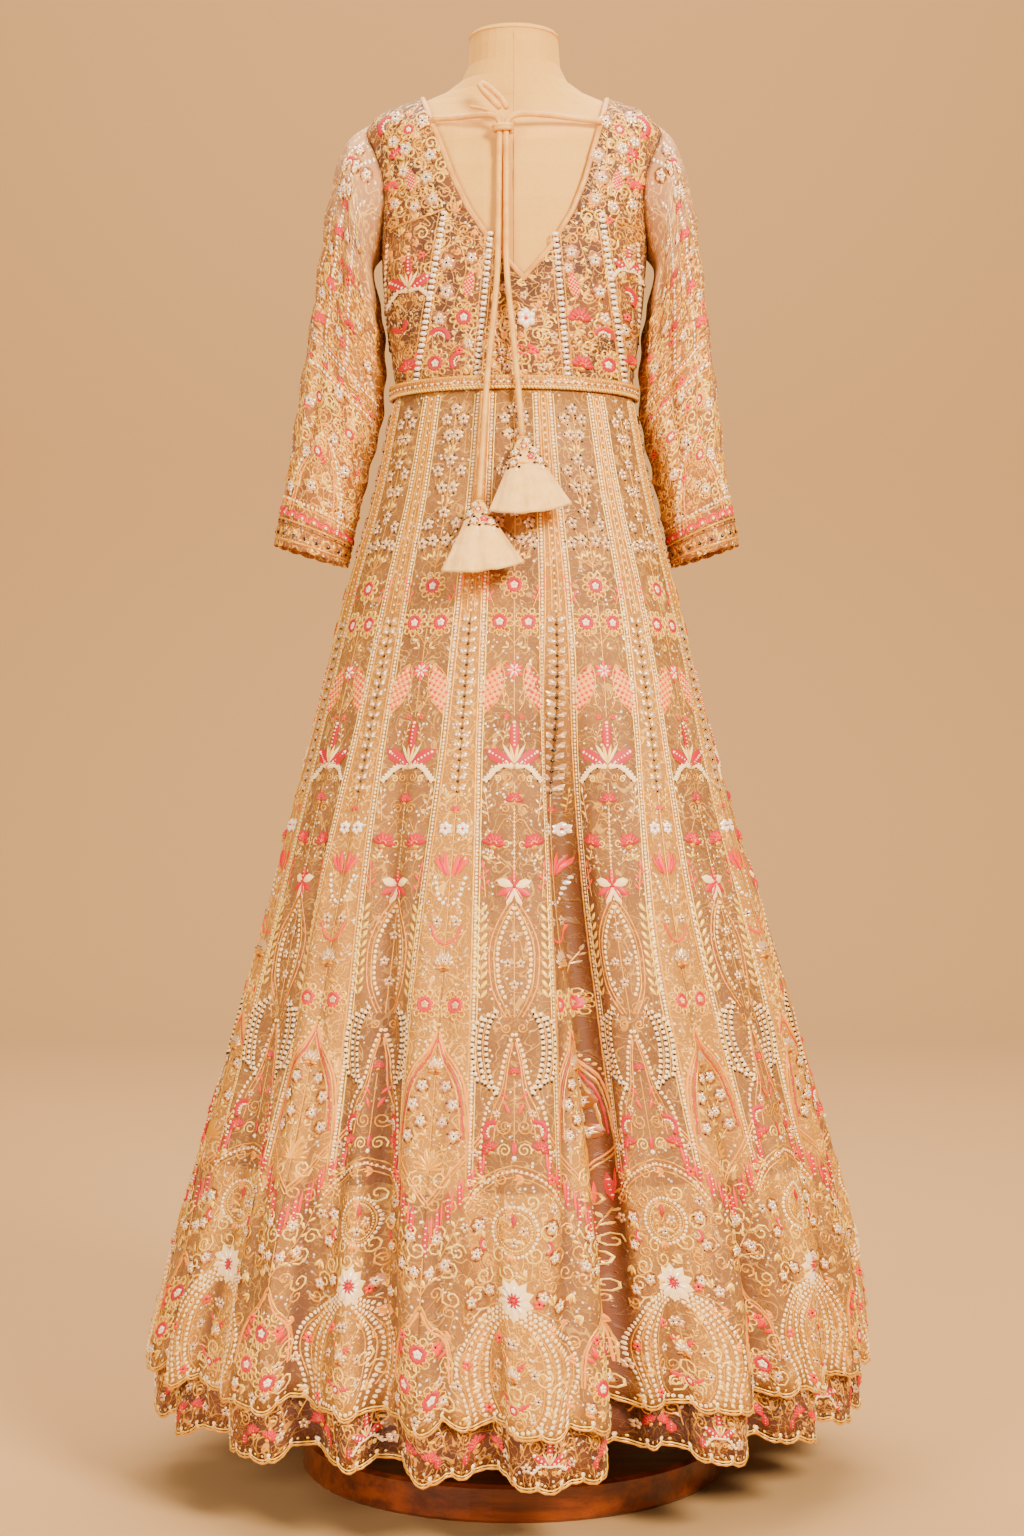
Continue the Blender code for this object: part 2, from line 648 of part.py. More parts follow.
def yoke_neck_edge(v, side):
    """The neckline's edge beside a yoke, from the yoke seam to the shoulder, with short steps at the top."""
    low, high = YOKE_NECK_HEIGHT + 0.5 * GAP, NECKLINE[-1][0]
    height = low + (high - low) * (1.0 - (1.0 - v) ** 2)
    limit = 90.0 - math.degrees(2 * GAP / 0.1)
    return side * min(abs(back_turn(neck_x(height, side), height)), limit), height


def make_yokes():
    limit = 90.0 - math.degrees(2 * GAP / 0.1)
    for side, word in ((-1, "left"), (1, "right")):

        def neck_edge(v, side=side):
            return yoke_neck_edge(v, side)

        def arm_edge(v, side=side):
            turn, height = armhole(YOKE_SHARE + (1.0 - YOKE_SHARE) * (1.0 - (1.0 - v) ** 1.4), side)
            return side * min(abs(turn), limit), height + 0.5 * GAP

        bottom = straight(neck_edge(0.0), arm_edge(0.0))
        top = straight(neck_edge(1.0), arm_edge(1.0))
        bodice_wall(f"back_yoke_{word}", blend_patch(bottom, top, neck_edge, arm_edge, 8, 6))


def front_neck_edge(v):
    """The front's inner edge: up the centre front, then round the neckline to the shoulder."""
    split = 0.5
    bottom = WAIST_HEIGHT + 0.5 * GAP
    seam = math.degrees(2 * GAP / 0.1)
    if v < split:
        return 180.0 - 0.5 * seam, bottom + (FRONT_V_HEIGHT - bottom) * v / split
    up = 1.0 - (1.0 - (v - split) / (1.0 - split)) ** 2
    height = FRONT_V_HEIGHT + (NECKLINE[-1][0] - FRONT_V_HEIGHT) * up
    x = NECKLINE[-1][1] * up**0.7
    return 180.0 - min(max(back_turn(x, height), 0.5 * seam), 90.0 - seam), height


def front_arm_edge(v):
    """The front's outer edge: up the side seam, then round the armhole to the shoulder."""
    split = 0.5
    bottom = WAIST_HEIGHT + 0.5 * GAP
    seam = math.degrees(2 * GAP / 0.1)
    if v < split:
        return 90.0 + seam, bottom + (UNDERARM_HEIGHT - bottom) * v / split
    up = 1.0 - (1.0 - (v - split) / (1.0 - split)) ** 1.4
    turn, height = armhole(up, 1, -ARMHOLE_FRONT_TURN)
    return max(turn, 90.0 + seam), height


def make_front_bodice():
    """Two plain front panels that meet at the centre front under the neckline."""
    bottom = straight(front_arm_edge(0.0), front_neck_edge(0.0))
    top = straight(front_arm_edge(1.0), front_neck_edge(1.0))
    patch = blend_patch(bottom, top, front_arm_edge, front_neck_edge, FRONT_ROWS, 9)
    for side, word in ((-1, "left"), (1, "right")):
        bodice_wall(f"front_bodice_{word}", [[(side * t, h) for t, h in row] for row in patch])


def neckline_loop():
    """(turn, height) all round the neckline, from the left shoulder along the back to the front."""
    corner = [neck_x(YOKE_NECK_HEIGHT, side) for side in (-1, 1)]
    loop = [yoke_neck_edge(1.0 - i / 7, -1) for i in range(7)]
    loop += [neck_corner(x) for x in spread((corner[0], CENTRE_SHIFT, corner[1]), (6, 6))]
    loop += [yoke_neck_edge(i / 7, 1) for i in range(1, 8)]
    steps = FRONT_ROWS // 2
    front = [front_neck_edge(1.0 - i / (FRONT_ROWS - 1)) for i in range(1, steps)]
    loop += front + [(180.0, FRONT_V_HEIGHT)]
    return loop + [(360.0 - t, h) for t, h in reversed(front)]


def make_neck_piping():
    """A flat bound edge that fills the neckline's rim, a gap inside the panels' edges."""
    loop = neckline_loop()
    edge = np.array([bodice_point(t, h) for t, h in loop])
    normal = np.array([form_normal(t, h) for t, h in loop])
    along = np.roll(edge, -1, axis=0) - np.roll(edge, 1, axis=0)
    inwards = np.cross(normal, along)
    inwards /= np.linalg.norm(inwards, axis=1, keepdims=True)
    middle = edge.mean(axis=0) + np.array((0.0, 0.0, 0.04))
    if np.sum(inwards * (middle - edge)) < 0:
        inwards = -inwards
    outer = np.stack([edge + inwards * (PIPING + 2 * GAP), edge + inwards * 2 * GAP])
    add_shell("neck_piping", outer, outer - normal * 0.8 * CLOTH, "piping", closed=True)


def make_waist_band():
    """The beaded braid over the waist seam."""
    rows = []
    for height in (WAIST_HEIGHT + BAND_RISE, WAIST_HEIGHT - BAND_DROP):
        loop, _ = skirt_ring(WAIST_HEIGHT - BAND_DROP, -(BAND_CLEARANCE + BAND_THICKNESS), 48)
        loop[:, 2] = height
        rows.append(loop)
    add_tube_wall("waist_band", np.array(rows), BAND_THICKNESS, "gold_braid")


# ---------------------------------------------------------------- sleeves


def sleeve_ring(row, side, points):
    """An oval between the sleeve's outer and inner edge, from the outer edge round the back."""
    values = dict(zip(SLEEVE_COLUMNS, row))
    swing = fuller = 0.0
    if side < 0:
        swing = LEFT_SWING * (1.0 - smooth_step(values["outer_z"], CUFF_BOTTOM[1], 1.5))
        fuller = LEFT_FULLER
    ring = []
    for i in range(points):
        angle = 2 * math.pi * i / points
        out = 0.5 + 0.5 * math.cos(angle)
        x = values["inner_x"] + (values["outer_x"] + fuller - values["inner_x"]) * out + swing
        z = values["inner_z"] + (values["outer_z"] - values["inner_z"]) * out
        ring.append((side * x, values["centre_y"] - values["half_depth"] * math.sin(angle), z))
    return ring


def armhole_ring(side, points):
    """The sleeve's first ring, just outside the armhole's edge."""
    ring = []
    for i in range(points):
        angle = 2 * math.pi * i / points
        share = 0.5 + 0.5 * math.cos(angle)
        deepest = ARMHOLE_BACK_TURN if math.sin(angle) > 0 else -ARMHOLE_FRONT_TURN
        turn, height = armhole(share, side, deepest)
        x, y, z = bodice_point(turn, height)
        ring.append((x + side * ARMHOLE_STEP, y, z))
    return ring


def make_sleeves():
    points = 12
    for side, word in ((-1, "left"), (1, "right")):
        rings = [armhole_ring(side, points)]
        rings += [sleeve_ring(row, side, points) for row in SLEEVE_SECTIONS]
        if side > 0:
            rings = [[ring[0], *reversed(ring[1:])] for ring in rings]
        add_tube_wall(f"sleeve_{word}", np.array(rings), CLOTH, "net")
        top, bottom = SLEEVE_SECTIONS[-1], CUFF_BOTTOM
        start = [a + (b - a) * 0.01 for a, b in zip(top, bottom)]
        rings = [sleeve_ring(row, side, points) for row in (start, bottom)]
        if side > 0:
            rings = [[ring[0], *reversed(ring[1:])] for ring in rings]
        add_tube_wall(f"cuff_{word}", np.array(rings), CLOTH, "net")


# ---------------------------------------------------------------- back tie


def add_cord(name, route):
    """A round cord along a smooth curve through the route's points."""
    length = sum(math.dist(a, b) for a, b in zip(route, route[1:]))
    path = smooth_path(route, max(4, round(length / (5 * CORD_RADIUS)) + 1))
    curve = bpy.data.curves.new(name, "CURVE")
    curve.dimensions = "3D"
    curve.bevel_depth = CORD_RADIUS
    curve.bevel_resolution = 2
    curve.use_fill_caps = True
    spline = curve.splines.new("POLY")
    spline.points.add(len(path) - 1)
    for point, place in zip(spline.points, path):
        point.co = (*place, 1.0)
    curve.materials.append(finish("dori"))
    piece = bpy.data.objects.new(name, curve)
    bpy.context.collection.objects.link(piece)


def make_knot():
    """A band of cord wound round both cords where they turn down."""
    around, section = 16, 6
    grid = []
    for j in range(section):
        turn = 2 * math.pi * j / section
        grid.append(
            [
                (
                    KNOT[0] + math.cos(a) * (KNOT_INNER[0] + KNOT_THICKNESS * (1 + math.cos(turn))),
                    KNOT[1] + math.sin(a) * (KNOT_INNER[1] + KNOT_THICKNESS * (1 + math.cos(turn))),
                    KNOT[2] + KNOT_THICKNESS * 1.3 * math.sin(turn),
                )
                for a in (2 * math.pi * i / around for i in range(around))
            ]
        )
    points = [p for ring in grid for p in ring]
    faces = [
        (
            j * around + i,
            j * around + (i + 1) % around,
            (j + 1) % section * around + (i + 1) % around,
            (j + 1) % section * around + i,
        )
        for j in range(section)
        for i in range(around)
    ]
    add_piece("dori_knot", points, faces, "dori")


def make_tassels():
    """Flat cones of folded cloth that lie on the skirt, each under the end of its cord."""
    segments = 20
    for name, top, foot, lean in TASSELS:
        top, foot = Vector(top), Vector(foot)
        down = (foot - top).normalized()
        across = Vector((math.cos(math.radians(lean)), 0.0, math.sin(math.radians(lean))))
        across = (across - down * across.dot(down)).normalized()
        through = down.cross(across)
        length = (foot - top).length
        points = []
        for share, width, depth in TASSEL_PROFILE:
            middle = top + down * (length * share)
            for i in range(segments):
                a = 2 * math.pi * i / segments
                points.append(middle + across * (width * math.cos(a)) + through * (depth * math.sin(a)))
        faces = [tuple(reversed(range(segments)))]
        for r in range(len(TASSEL_PROFILE) - 1):
            for i in range(segments):
                j = (i + 1) % segments
                faces.append(
                    (r * segments + i, r * segments + j, (r + 1) * segments + j, (r + 1) * segments + i)
                )
        last = (len(TASSEL_PROFILE) - 1) * segments
        faces.append(tuple(range(last, last + segments)))
        add_piece(name, points, faces, "tassel")


def main():
    clear_scene()
    make_base()
    make_pole()
    make_form()
    make_kalis()
    make_under_skirt()
    make_back_bodice()
    make_yokes()
    make_front_bodice()
    make_neck_piping()
    make_waist_band()
    make_sleeves()
    for name, route in CORD_ROUTES.items():
        add_cord(name, route)
    make_knot()
    make_tassels()


main()
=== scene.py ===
"""An embroidered anarkali gown with a tasselled back tie, on a linen-covered dress form stand.

Metres, +Z up, the gown's back towards -Y. Embroidery is worked flat on each cloth, as x across the
cloth and z for its height, and then laid on the hanging folds.
"""

import math

import bpy
import numpy as np
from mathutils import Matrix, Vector


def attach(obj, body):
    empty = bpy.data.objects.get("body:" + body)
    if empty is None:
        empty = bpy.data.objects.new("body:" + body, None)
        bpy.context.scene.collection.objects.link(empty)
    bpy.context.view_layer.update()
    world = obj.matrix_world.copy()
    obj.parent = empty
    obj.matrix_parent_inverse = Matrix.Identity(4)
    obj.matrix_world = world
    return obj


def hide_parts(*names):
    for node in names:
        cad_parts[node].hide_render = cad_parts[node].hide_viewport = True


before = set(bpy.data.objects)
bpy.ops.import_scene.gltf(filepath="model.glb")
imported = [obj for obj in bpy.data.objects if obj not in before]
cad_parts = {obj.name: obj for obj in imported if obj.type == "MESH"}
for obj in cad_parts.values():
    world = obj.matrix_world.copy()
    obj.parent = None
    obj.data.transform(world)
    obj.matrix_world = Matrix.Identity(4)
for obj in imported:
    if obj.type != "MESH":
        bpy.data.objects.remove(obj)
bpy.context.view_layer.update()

rng = np.random.default_rng(14)

# ---------------------------------------------------------------- sizes, as the solids have them

GAP = 0.0003
CLOTH = 0.002
CLEAR_OF_FORM = 0.003
WAIST = 1.263
HEM = 0.145
UNDER_HEM = 0.088
UNDER_CLEARANCE = 0.0105
UNDER_HANG = 1.235
KALIS = 12
UNDER_PANELS = 6
DEEPEN = 0.009
BAND_RISE = 0.0115
BAND_DROP = 0.0045

FORM_COLUMNS = ("height", "half_width", "back_depth", "front_depth", "squareness")
FORM_SECTIONS = (
    (0.955, 0.15, 0.112, 0.104, 2.2),
    (0.99, 0.161, 0.122, 0.112, 2.2),
    (1.06, 0.158, 0.117, 0.108, 2.2),
    (1.13, 0.143, 0.1, 0.1, 2.2),
    (1.19, 0.13, 0.088, 0.095, 2.05),
    (1.263, 0.133, 0.091, 0.101, 2.0),
    (1.33, 0.143, 0.097, 0.123, 2.1),
    (1.39, 0.15, 0.101, 0.136, 2.2),
    (1.45, 0.154, 0.103, 0.124, 2.2),
    (1.51, 0.161, 0.1, 0.102, 2.2),
    (1.55, 0.168, 0.088, 0.084, 2.2),
    (1.58, 0.168, 0.07, 0.067, 2.2),
    (1.596, 0.153, 0.058, 0.056, 2.1),
    (1.608, 0.121, 0.053, 0.052, 2.0),
    (1.621, 0.087, 0.052, 0.052, 2.0),
    (1.637, 0.064, 0.052, 0.053, 2.0),
    (1.658, 0.054, 0.0524, 0.053, 2.0),
    (1.69, 0.0524, 0.0524, 0.0524, 2.0),
    (1.695, 0.0505, 0.0505, 0.0505, 2.0),
)

SKIRT_COLUMNS = ("height", "left_width", "right_width", "back_depth", "front_depth")
SKIRT_SECTIONS = (
    (1.263, 0.1415, 0.1415, 0.1, 0.112),
    (1.142, 0.167, 0.164, 0.131, 0.136),
    (1.035, 0.1975, 0.1905, 0.162, 0.164),
    (0.82, 0.249, 0.243, 0.219, 0.218),
    (0.535, 0.3225, 0.328, 0.301, 0.298),
    (0.25, 0.408, 0.408, 0.376, 0.373),
    (0.145, 0.434, 0.421, 0.401, 0.398),
    (0.088, 0.436, 0.424, 0.406, 0.403),
)

FOLD_COLUMNS = ("hem_turn", "waist_turn", "depth", "width", "start_height", "full_height")
FOLDS = (
    (-172.0, -170.0, 0.03, 4.4, 0.78, 0.05),
    (-157.0, -159.0, 0.038, 4.0, 0.92, 0.05),
    (-141.0, -143.0, 0.026, 4.6, 0.7, 0.05),
    (-126.0, -127.0, 0.04, 4.2, 0.95, 0.05),
    (-110.0, -111.0, 0.026, 4.4, 0.72, 0.05),
    (-97.0, -96.0, 0.024, 4.6, 0.75, 0.05),
    (-70.5, -72.0, 0.018, 4.0, 0.6, 0.05),
    (-54.0, -61.0, 0.03, 4.0, 0.88, 0.05),
    (-33.5, -41.0, 0.036, 3.6, 0.84, 0.05),
    (-20.5, -40.0, 0.034, 2.8, 0.98, 0.3),
    (-5.0, -12.0, 0.03, 3.0, 0.66, 0.05),
    (19.0, 10.5, 0.052, 4.2, 1.15, 0.6),
    (27.5, 33.0, 0.028, 3.0, 0.8, 0.05),
    (44.0, 42.0, 0.036, 3.6, 0.9, 0.05),
    (61.0, 59.0, 0.024, 4.2, 0.72, 0.05),
    (77.0, 78.0, 0.02, 4.0, 0.72, 0.05),
    (99.0, 97.0, 0.024, 4.6, 0.7, 0.05),
    (117.0, 115.0, 0.04, 4.0, 0.95, 0.05),
    (136.0, 138.0, 0.028, 4.4, 0.74, 0.05),
    (152.0, 150.0, 0.036, 4.0, 0.88, 0.05),
    (168.0, 167.0, 0.024, 4.0, 0.66, 0.05),
)

SLEEVE_COLUMNS = ("outer_x", "outer_z", "inner_x", "inner_z", "half_depth", "centre_y")
SLEEVE_SECTIONS = (
    (0.192, 1.563, 0.167, 1.415, 0.062, 0.0),
    (0.2085, 1.5, 0.1635, 1.388, 0.06, 0.002),
    (0.2185, 1.44, 0.159, 1.358, 0.057, 0.004),
    (0.227, 1.385, 0.155, 1.328, 0.054, 0.006),
    (0.234, 1.325, 0.1515, 1.29, 0.051, 0.009),
    (0.241, 1.265, 0.1525, 1.24, 0.049, 0.012),
    (0.249, 1.2, 0.166, 1.182, 0.047, 0.013),
    (0.259, 1.14, 0.178, 1.116, 0.045, 0.012),
    (0.269, 1.088, 0.188, 1.062, 0.046, 0.011),
)
LEFT_FULLER = 0.008
LEFT_SWING = 0.01

NECKLINE = (
    (1.382, 0.0),
    (1.4205, 0.0356),
    (1.464, 0.0632),
    (1.499, 0.0788),
    (1.573, 0.1035),
    (1.612, 0.116),
)
CENTRE_SHIFT = 0.0115
SHIFT_FADES = 0.046
ARM_SHOULDER = 1.589
UNDERARM = 1.428
YOKE_NECK = 1.464
YOKE_ARM = 1.45
ROW_OUTER_TOP = 0.0943
ROW_OUTER_BOTTOM = 0.122
ROW_INNER_TOP = 0.0372
ROW_INNER_BOTTOM = 0.053
ARMHOLE_BACK_TURN = 24.0
ARMHOLE_FRONT_TURN = 28.0
FRONT_V = 1.47

CORD_RADIUS = 0.0035
CORD_ROUTES = {
    "dori_left": (
        (-0.0945, -0.0735, 1.576),
        (-0.07, -0.08, 1.5755),
        (-0.044, -0.09, 1.5757),
        (-0.024, -0.095, 1.5745),
        (-0.0172, -0.096, 1.566),
        (-0.017, -0.099, 1.545),
        (-0.0175, -0.1065, 1.5),
        (-0.018, -0.11, 1.45),
        (-0.0195, -0.1115, 1.388),
        (-0.0245, -0.112, 1.33),
        (-0.031, -0.1125, 1.266),
        (-0.0345, -0.124, 1.21),
        (-0.0375, -0.136, 1.16),
        (-0.0395, -0.1435, 1.127),
    ),
    "dori_right": (
        (0.102, -0.0738, 1.5725),
        (0.07, -0.0818, 1.5745),
        (0.03, -0.0915, 1.5765),
        (0.003, -0.095, 1.5755),
        (-0.0085, -0.096, 1.566),
        (-0.0088, -0.099, 1.545),
        (-0.009, -0.1065, 1.5),
        (-0.009, -0.11, 1.45),
        (-0.008, -0.1115, 1.388),
        (-0.002, -0.112, 1.33),
        (0.004, -0.1125, 1.266),
        (0.0075, -0.122, 1.225),
        (0.009, -0.128, 1.201),
    ),
    "dori_bow": (
        (-0.0165, -0.093, 1.584),
        (-0.024, -0.089, 1.592),
        (-0.035, -0.08, 1.606),
        (-0.04, -0.074, 1.615),
        (-0.035, -0.073, 1.617),
        (-0.025, -0.079, 1.608),
        (-0.014, -0.087, 1.595),
        (-0.0085, -0.093, 1.584),
    ),
}
KNOT = (-0.01285, -0.097, 1.559)
TASSELS = (
    ("left", (-0.04, -0.1445, 1.124), (-0.036, -0.183, 1.048), 14.0),
    ("right", (0.0095, -0.129, 1.1985), (0.018, -0.164, 1.1165), 2.0),
)

# ---------------------------------------------------------------- curves and tables


def smooth_table(columns, rows, at):
    """Each column of a table at the values `at` of its first column, on smooth curves between rows."""
    table = np.array(sorted(rows))
    knots = table[:, 0]
    slopes = np.gradient(table, knots, axis=0)
    at = np.clip(np.asarray(at, float), knots[0], knots[-1])
    i = np.clip(np.searchsorted(knots, at) - 1, 0, len(knots) - 2)
    step = knots[i + 1] - knots[i]
    t = (at - knots[i]) / step
    step, t = step[..., None], t[..., None]
    value = (
        (2 * t**3 - 3 * t**2 + 1) * table[i]
        + (t**3 - 2 * t**2 + t) * step * slopes[i]
        + (3 * t**2 - 2 * t**3) * table[i + 1]
        + (t**3 - t**2) * step * slopes[i + 1]
    )
    return {name: value[..., k] for k, name in enumerate(columns)}


def smooth_step(value, low, high):
    t = np.clip((value - low) / (high - low), 0.0, 1.0)
    return t * t * (3.0 - 2.0 * t)


def smooth_path(knots, step=None, count=None):
    """Evenly spaced points along a smooth curve through the knots, in any number of dimensions."""
    knots = np.array(knots, float)
    padded = np.concatenate([2 * knots[:1] - knots[1:2], knots, 2 * knots[-1:] - knots[-2:-1]])
    t = (np.arange(16) / 16)[:, None]
    fine = []
    for a, b, c, d in zip(padded, padded[1:], padded[2:], padded[3:]):
        bend, twist = 2 * a - 5 * b + 4 * c - d, 3 * b - a - 3 * c + d
        fine.append(0.5 * (2 * b + (c - a) * t + bend * t**2 + twist * t**3))
    fine = np.concatenate(fine + [knots[-1:]])
    along = np.concatenate([[0.0], np.cumsum(np.linalg.norm(np.diff(fine, axis=0), axis=1))])
    count = count or max(2, int(round(along[-1] / step)) + 1)
    even = np.linspace(0.0, along[-1], count)
    return np.stack([np.interp(even, along, fine[:, k]) for k in range(fine.shape[1])], axis=1)


# ---------------------------------------------------------------- the hanging cloths


class Cloth:
    """A surface as a grid of points with their outward normals, looked up by column and row."""

    def __init__(self, grid, closed, outwards_from=None):
        self.grid = grid
        self.closed = closed
        if closed:
            across = np.roll(grid, -1, axis=1) - np.roll(grid, 1, axis=1)
        else:
            across = np.gradient(grid, axis=1)
        normal = np.cross(across, np.gradient(grid, axis=0))
        normal /= np.linalg.norm(normal, axis=2, keepdims=True) + 1e-12
        middle = grid.mean(axis=(0, 1)) if outwards_from is None else np.array(outwards_from)
        if np.sum(normal * (grid - middle)) < 0:
            normal = -normal
        self.normal = normal

    def lookup(self, held, column, row):
        """What the grids in held say at fractional columns and rows."""
        rows, columns, _ = self.grid.shape
        row = np.clip(row, 0, rows - 1.001)
        r = row.astype(int)
        down = (row - r)[..., None]
        if self.closed:
            column = column % columns
            c = np.minimum(column.astype(int), columns - 1)
            after = (c + 1) % columns
        else:
            column = np.clip(column, 0, columns - 1.001)
            c = column.astype(int)
            after = c + 1
        along = (column - c)[..., None]
        found = []
        for values in held:
            upper = values[r, c] * (1 - along) + values[r, after] * along
            lower = values[r + 1, c] * (1 - along) + values[r + 1, after] * along
            found.append(upper * (1 - down) + lower * down)
        return found

    def at(self, column, row, lift=0.0):
        """Points lift above the cloth at fractional columns and rows."""
        spots, normals = self.lookup((self.grid, self.normal), column, row)
        return spots + normals * np.asarray(lift)[..., None]


def skirt_ring(height, inset, samples=1440):
    """The skirt's outline at one height: points from the centre front by the back, lengths, fold depths."""
    row = {k: float(v) for k, v in smooth_table(SKIRT_COLUMNS, SKIRT_SECTIONS, height).items()}
    turn = np.linspace(-180.0, 180.0, samples, endpoint=False)
    sine, cosine = np.sin(np.radians(turn)), np.cos(np.radians(turn))
    width = np.where(sine < 0, row["left_width"], row["right_width"])
    depth = np.where(cosine > 0, row["back_depth"], row["front_depth"])
    down = (WAIST - height) / (WAIST - HEM)
    cut = np.zeros(samples)
    for values in FOLDS:
        fold = dict(zip(FOLD_COLUMNS, values))
        centre = fold["waist_turn"] + (fold["hem_turn"] - fold["waist_turn"]) * min(down, 1.05)
        away = (turn - centre + 180.0) % 360.0 - 180.0
        grown = 1.0 - smooth_step(height, fold["full_height"], fold["start_height"])
        breadth = fold["width"] * (1.35 - 0.35 * grown)
        shape = 0.62 * np.exp(-((away / breadth) ** 2)) + 0.38 * np.exp(-((away / (2.3 * breadth)) ** 2))
        cut += fold["depth"] * grown * shape
    x = width * sine * (1.0 - (cut + inset) / width)
    y = -depth * cosine * (1.0 - (cut + inset) / depth)
    loop = np.stack([x, y, np.full(samples, height)], axis=1)
    steps = np.linalg.norm(np.roll(loop, -1, axis=0) - loop, axis=1)
    return loop, np.concatenate([[0.0], np.cumsum(steps)]), np.append(cut, cut[0])


class Skirt(Cloth):
    """The skirt, or the under-skirt inside it. Column 0 is the centre back of the first panel."""

    STEP = 0.005
    FOLD_UNIT = 0.034
    CREASE_UNIT = 0.009

    def __init__(self, top, bottom, inset, panels, per_panel, creasing, lobes):
        self.top, self.creasing, self.lobes = top, creasing, lobes
        self.panels, self.per_panel = panels, per_panel
        count = int(round((top - bottom) / self.STEP)) + 1
        self.heights = top - np.arange(count) * self.STEP
        columns = panels * per_panel
        grid, girths, depths = [], [], []
        for height in self.heights:
            loop, along, cut = skirt_ring(height, inset(height))
            loop = np.concatenate([loop, loop[:1]])
            wanted = (np.arange(columns) / columns * along[-1] + along[len(along) // 2]) % along[-1]
            grid.append(np.stack([np.interp(wanted, along, loop[:, k]) for k in range(3)], axis=1))
            girths.append(along[-1])
            depths.append(np.interp(wanted, along, cut)[:, None] / self.FOLD_UNIT)
        self.girths = np.array(girths)
        self.depths = np.array(depths)
        super().__init__(np.array(grid), closed=True)

    def half_panel(self, height):
        """Half the width of a panel along the cloth at a height."""
        return np.interp(-np.asarray(height), -self.heights, self.girths) / self.panels / 2

    def crease(self, column, z):
        """The small soft folds between the big ones, with narrow valleys, deeper towards the hem."""
        turn = column / self.per_panel / self.panels * 2 * np.pi
        sway = turn + 0.05 * np.sin(3 * turn + 5 * z)
        ribs = np.abs(np.sin(17 * sway)) ** 0.8 - 0.35
        uneven = 0.65 + 0.35 * np.sin(5 * turn + 1.0)
        grown = smooth_step(-z, -1.12, -0.25)
        return self.creasing * grown * (ribs * uneven + 0.22 * np.sin(46 * sway + 4 * z))

    def where(self, panel, x, z):
        column = panel * self.per_panel + x / (2 * self.half_panel(z)) * self.per_panel
        return column, (self.top - z) / self.STEP

    def place(self, panel, x, z, lift):
        """Points on the cloth, x metres from the panel's middle line."""
        column, row = self.where(panel, x, z)
        depth = self.lookup((self.depths,), column, row)[0][..., 0]
        spots = self.at(column, row, lift + self.crease(column, z) - DEEPEN * depth)
        lowest = np.full(np.shape(row), len(self.heights) - 2.0)
        edge = self.lookup((self.depths,), column, lowest)[0][..., 0]
        dip = edge - self.crease(column, 0.0 * z + HEM) / self.CREASE_UNIT - 0.3
        spots[..., 2] += self.lobes * np.clip(dip, -0.9, 1.4) * smooth_step(-z, -0.42, -0.12)
        return spots

    def hollow(self, panel, x, z):
        """How deep in a fold a point lies, from 0 on a crest."""
        column, row = self.where(panel, x, z)
        depth = self.lookup((self.depths,), column, row)[0][..., 0]
        return depth - self.crease(column, z) / self.CREASE_UNIT


def under_inset(height):
    return UNDER_CLEARANCE * (0.45 + 0.55 * float(smooth_step(UNDER_HANG - height, 0.0, 0.25)))


def form_surface(turn, height):
    """Points on the torso form's surface."""
    row = smooth_table(FORM_COLUMNS, FORM_SECTIONS, height)
    sine, cosine = np.sin(np.radians(turn)), np.cos(np.radians(turn))
    depth = np.where(cosine > 0, row["back_depth"], row["front_depth"])
    power = 2.0 / row["squareness"]
    x = np.sign(sine) * row["half_width"] * np.abs(sine) ** power
    y = -np.sign(cosine) * depth * np.abs(cosine) ** power
    return np.stack([x, y, np.broadcast_to(height, x.shape)], axis=-1)


class Bodice(Cloth):
    """The bodice's face over the form: a column a degree, from the centre front round past the back."""

    STEP = 0.002
    TOP = 1.64

    def __init__(self):
        heights = self.TOP - np.arange(200) * self.STEP
        turn, height = np.meshgrid(np.arange(-180.0, 180.0), heights)
        middle = form_surface(turn, height)
        around = form_surface(turn + 1.0, height) - form_surface(turn - 1.0, height)
        up = form_surface(turn, height + 0.001) - form_surface(turn, height - 0.001)
        normal = np.cross(around, up)
        normal /= np.linalg.norm(normal, axis=2, keepdims=True)
        self.grid = middle + normal * (CLEAR_OF_FORM + CLOTH)
        self.normal = normal
        self.closed = True
        self.widths = smooth_table(FORM_COLUMNS, FORM_SECTIONS, heights[::-1])
        self.heights = heights[::-1]

    def by_turn(self, turn, z, lift=0.0):
        return self.at(turn + 180.0, (self.TOP - z) / self.STEP, np.broadcast_to(lift, np.shape(turn)))

    def turn_of(self, x, z):
        """The turn at which the back is x from the middle, in the front view."""
        half = np.interp(z, self.heights, self.widths["half_width"]) + CLEAR_OF_FORM + CLOTH
        power = np.interp(z, self.heights, self.widths["squareness"]) / 2.0
        share = np.minimum(np.abs(x) / half, 1.0)
        return np.sign(x) * np.degrees(np.arcsin(share**power))

    def place(self, side, x, z, lift):
        """Points on the back (side 1) or the chest (side -1), x from the middle in the front view."""
        turn = self.turn_of(x, z)
        return self.by_turn(turn if side > 0 else 180.0 - turn, z, lift)


def armhole(share, side, deepest=ARMHOLE_BACK_TURN):
    """The armhole's edge as (turn, height), from the underarm at 0 to the shoulder at 1."""
    height = UNDERARM + (ARM_SHOULDER - UNDERARM) * share
    return side * (90.0 - deepest * math.sin(math.pi * share) ** 0.8), height


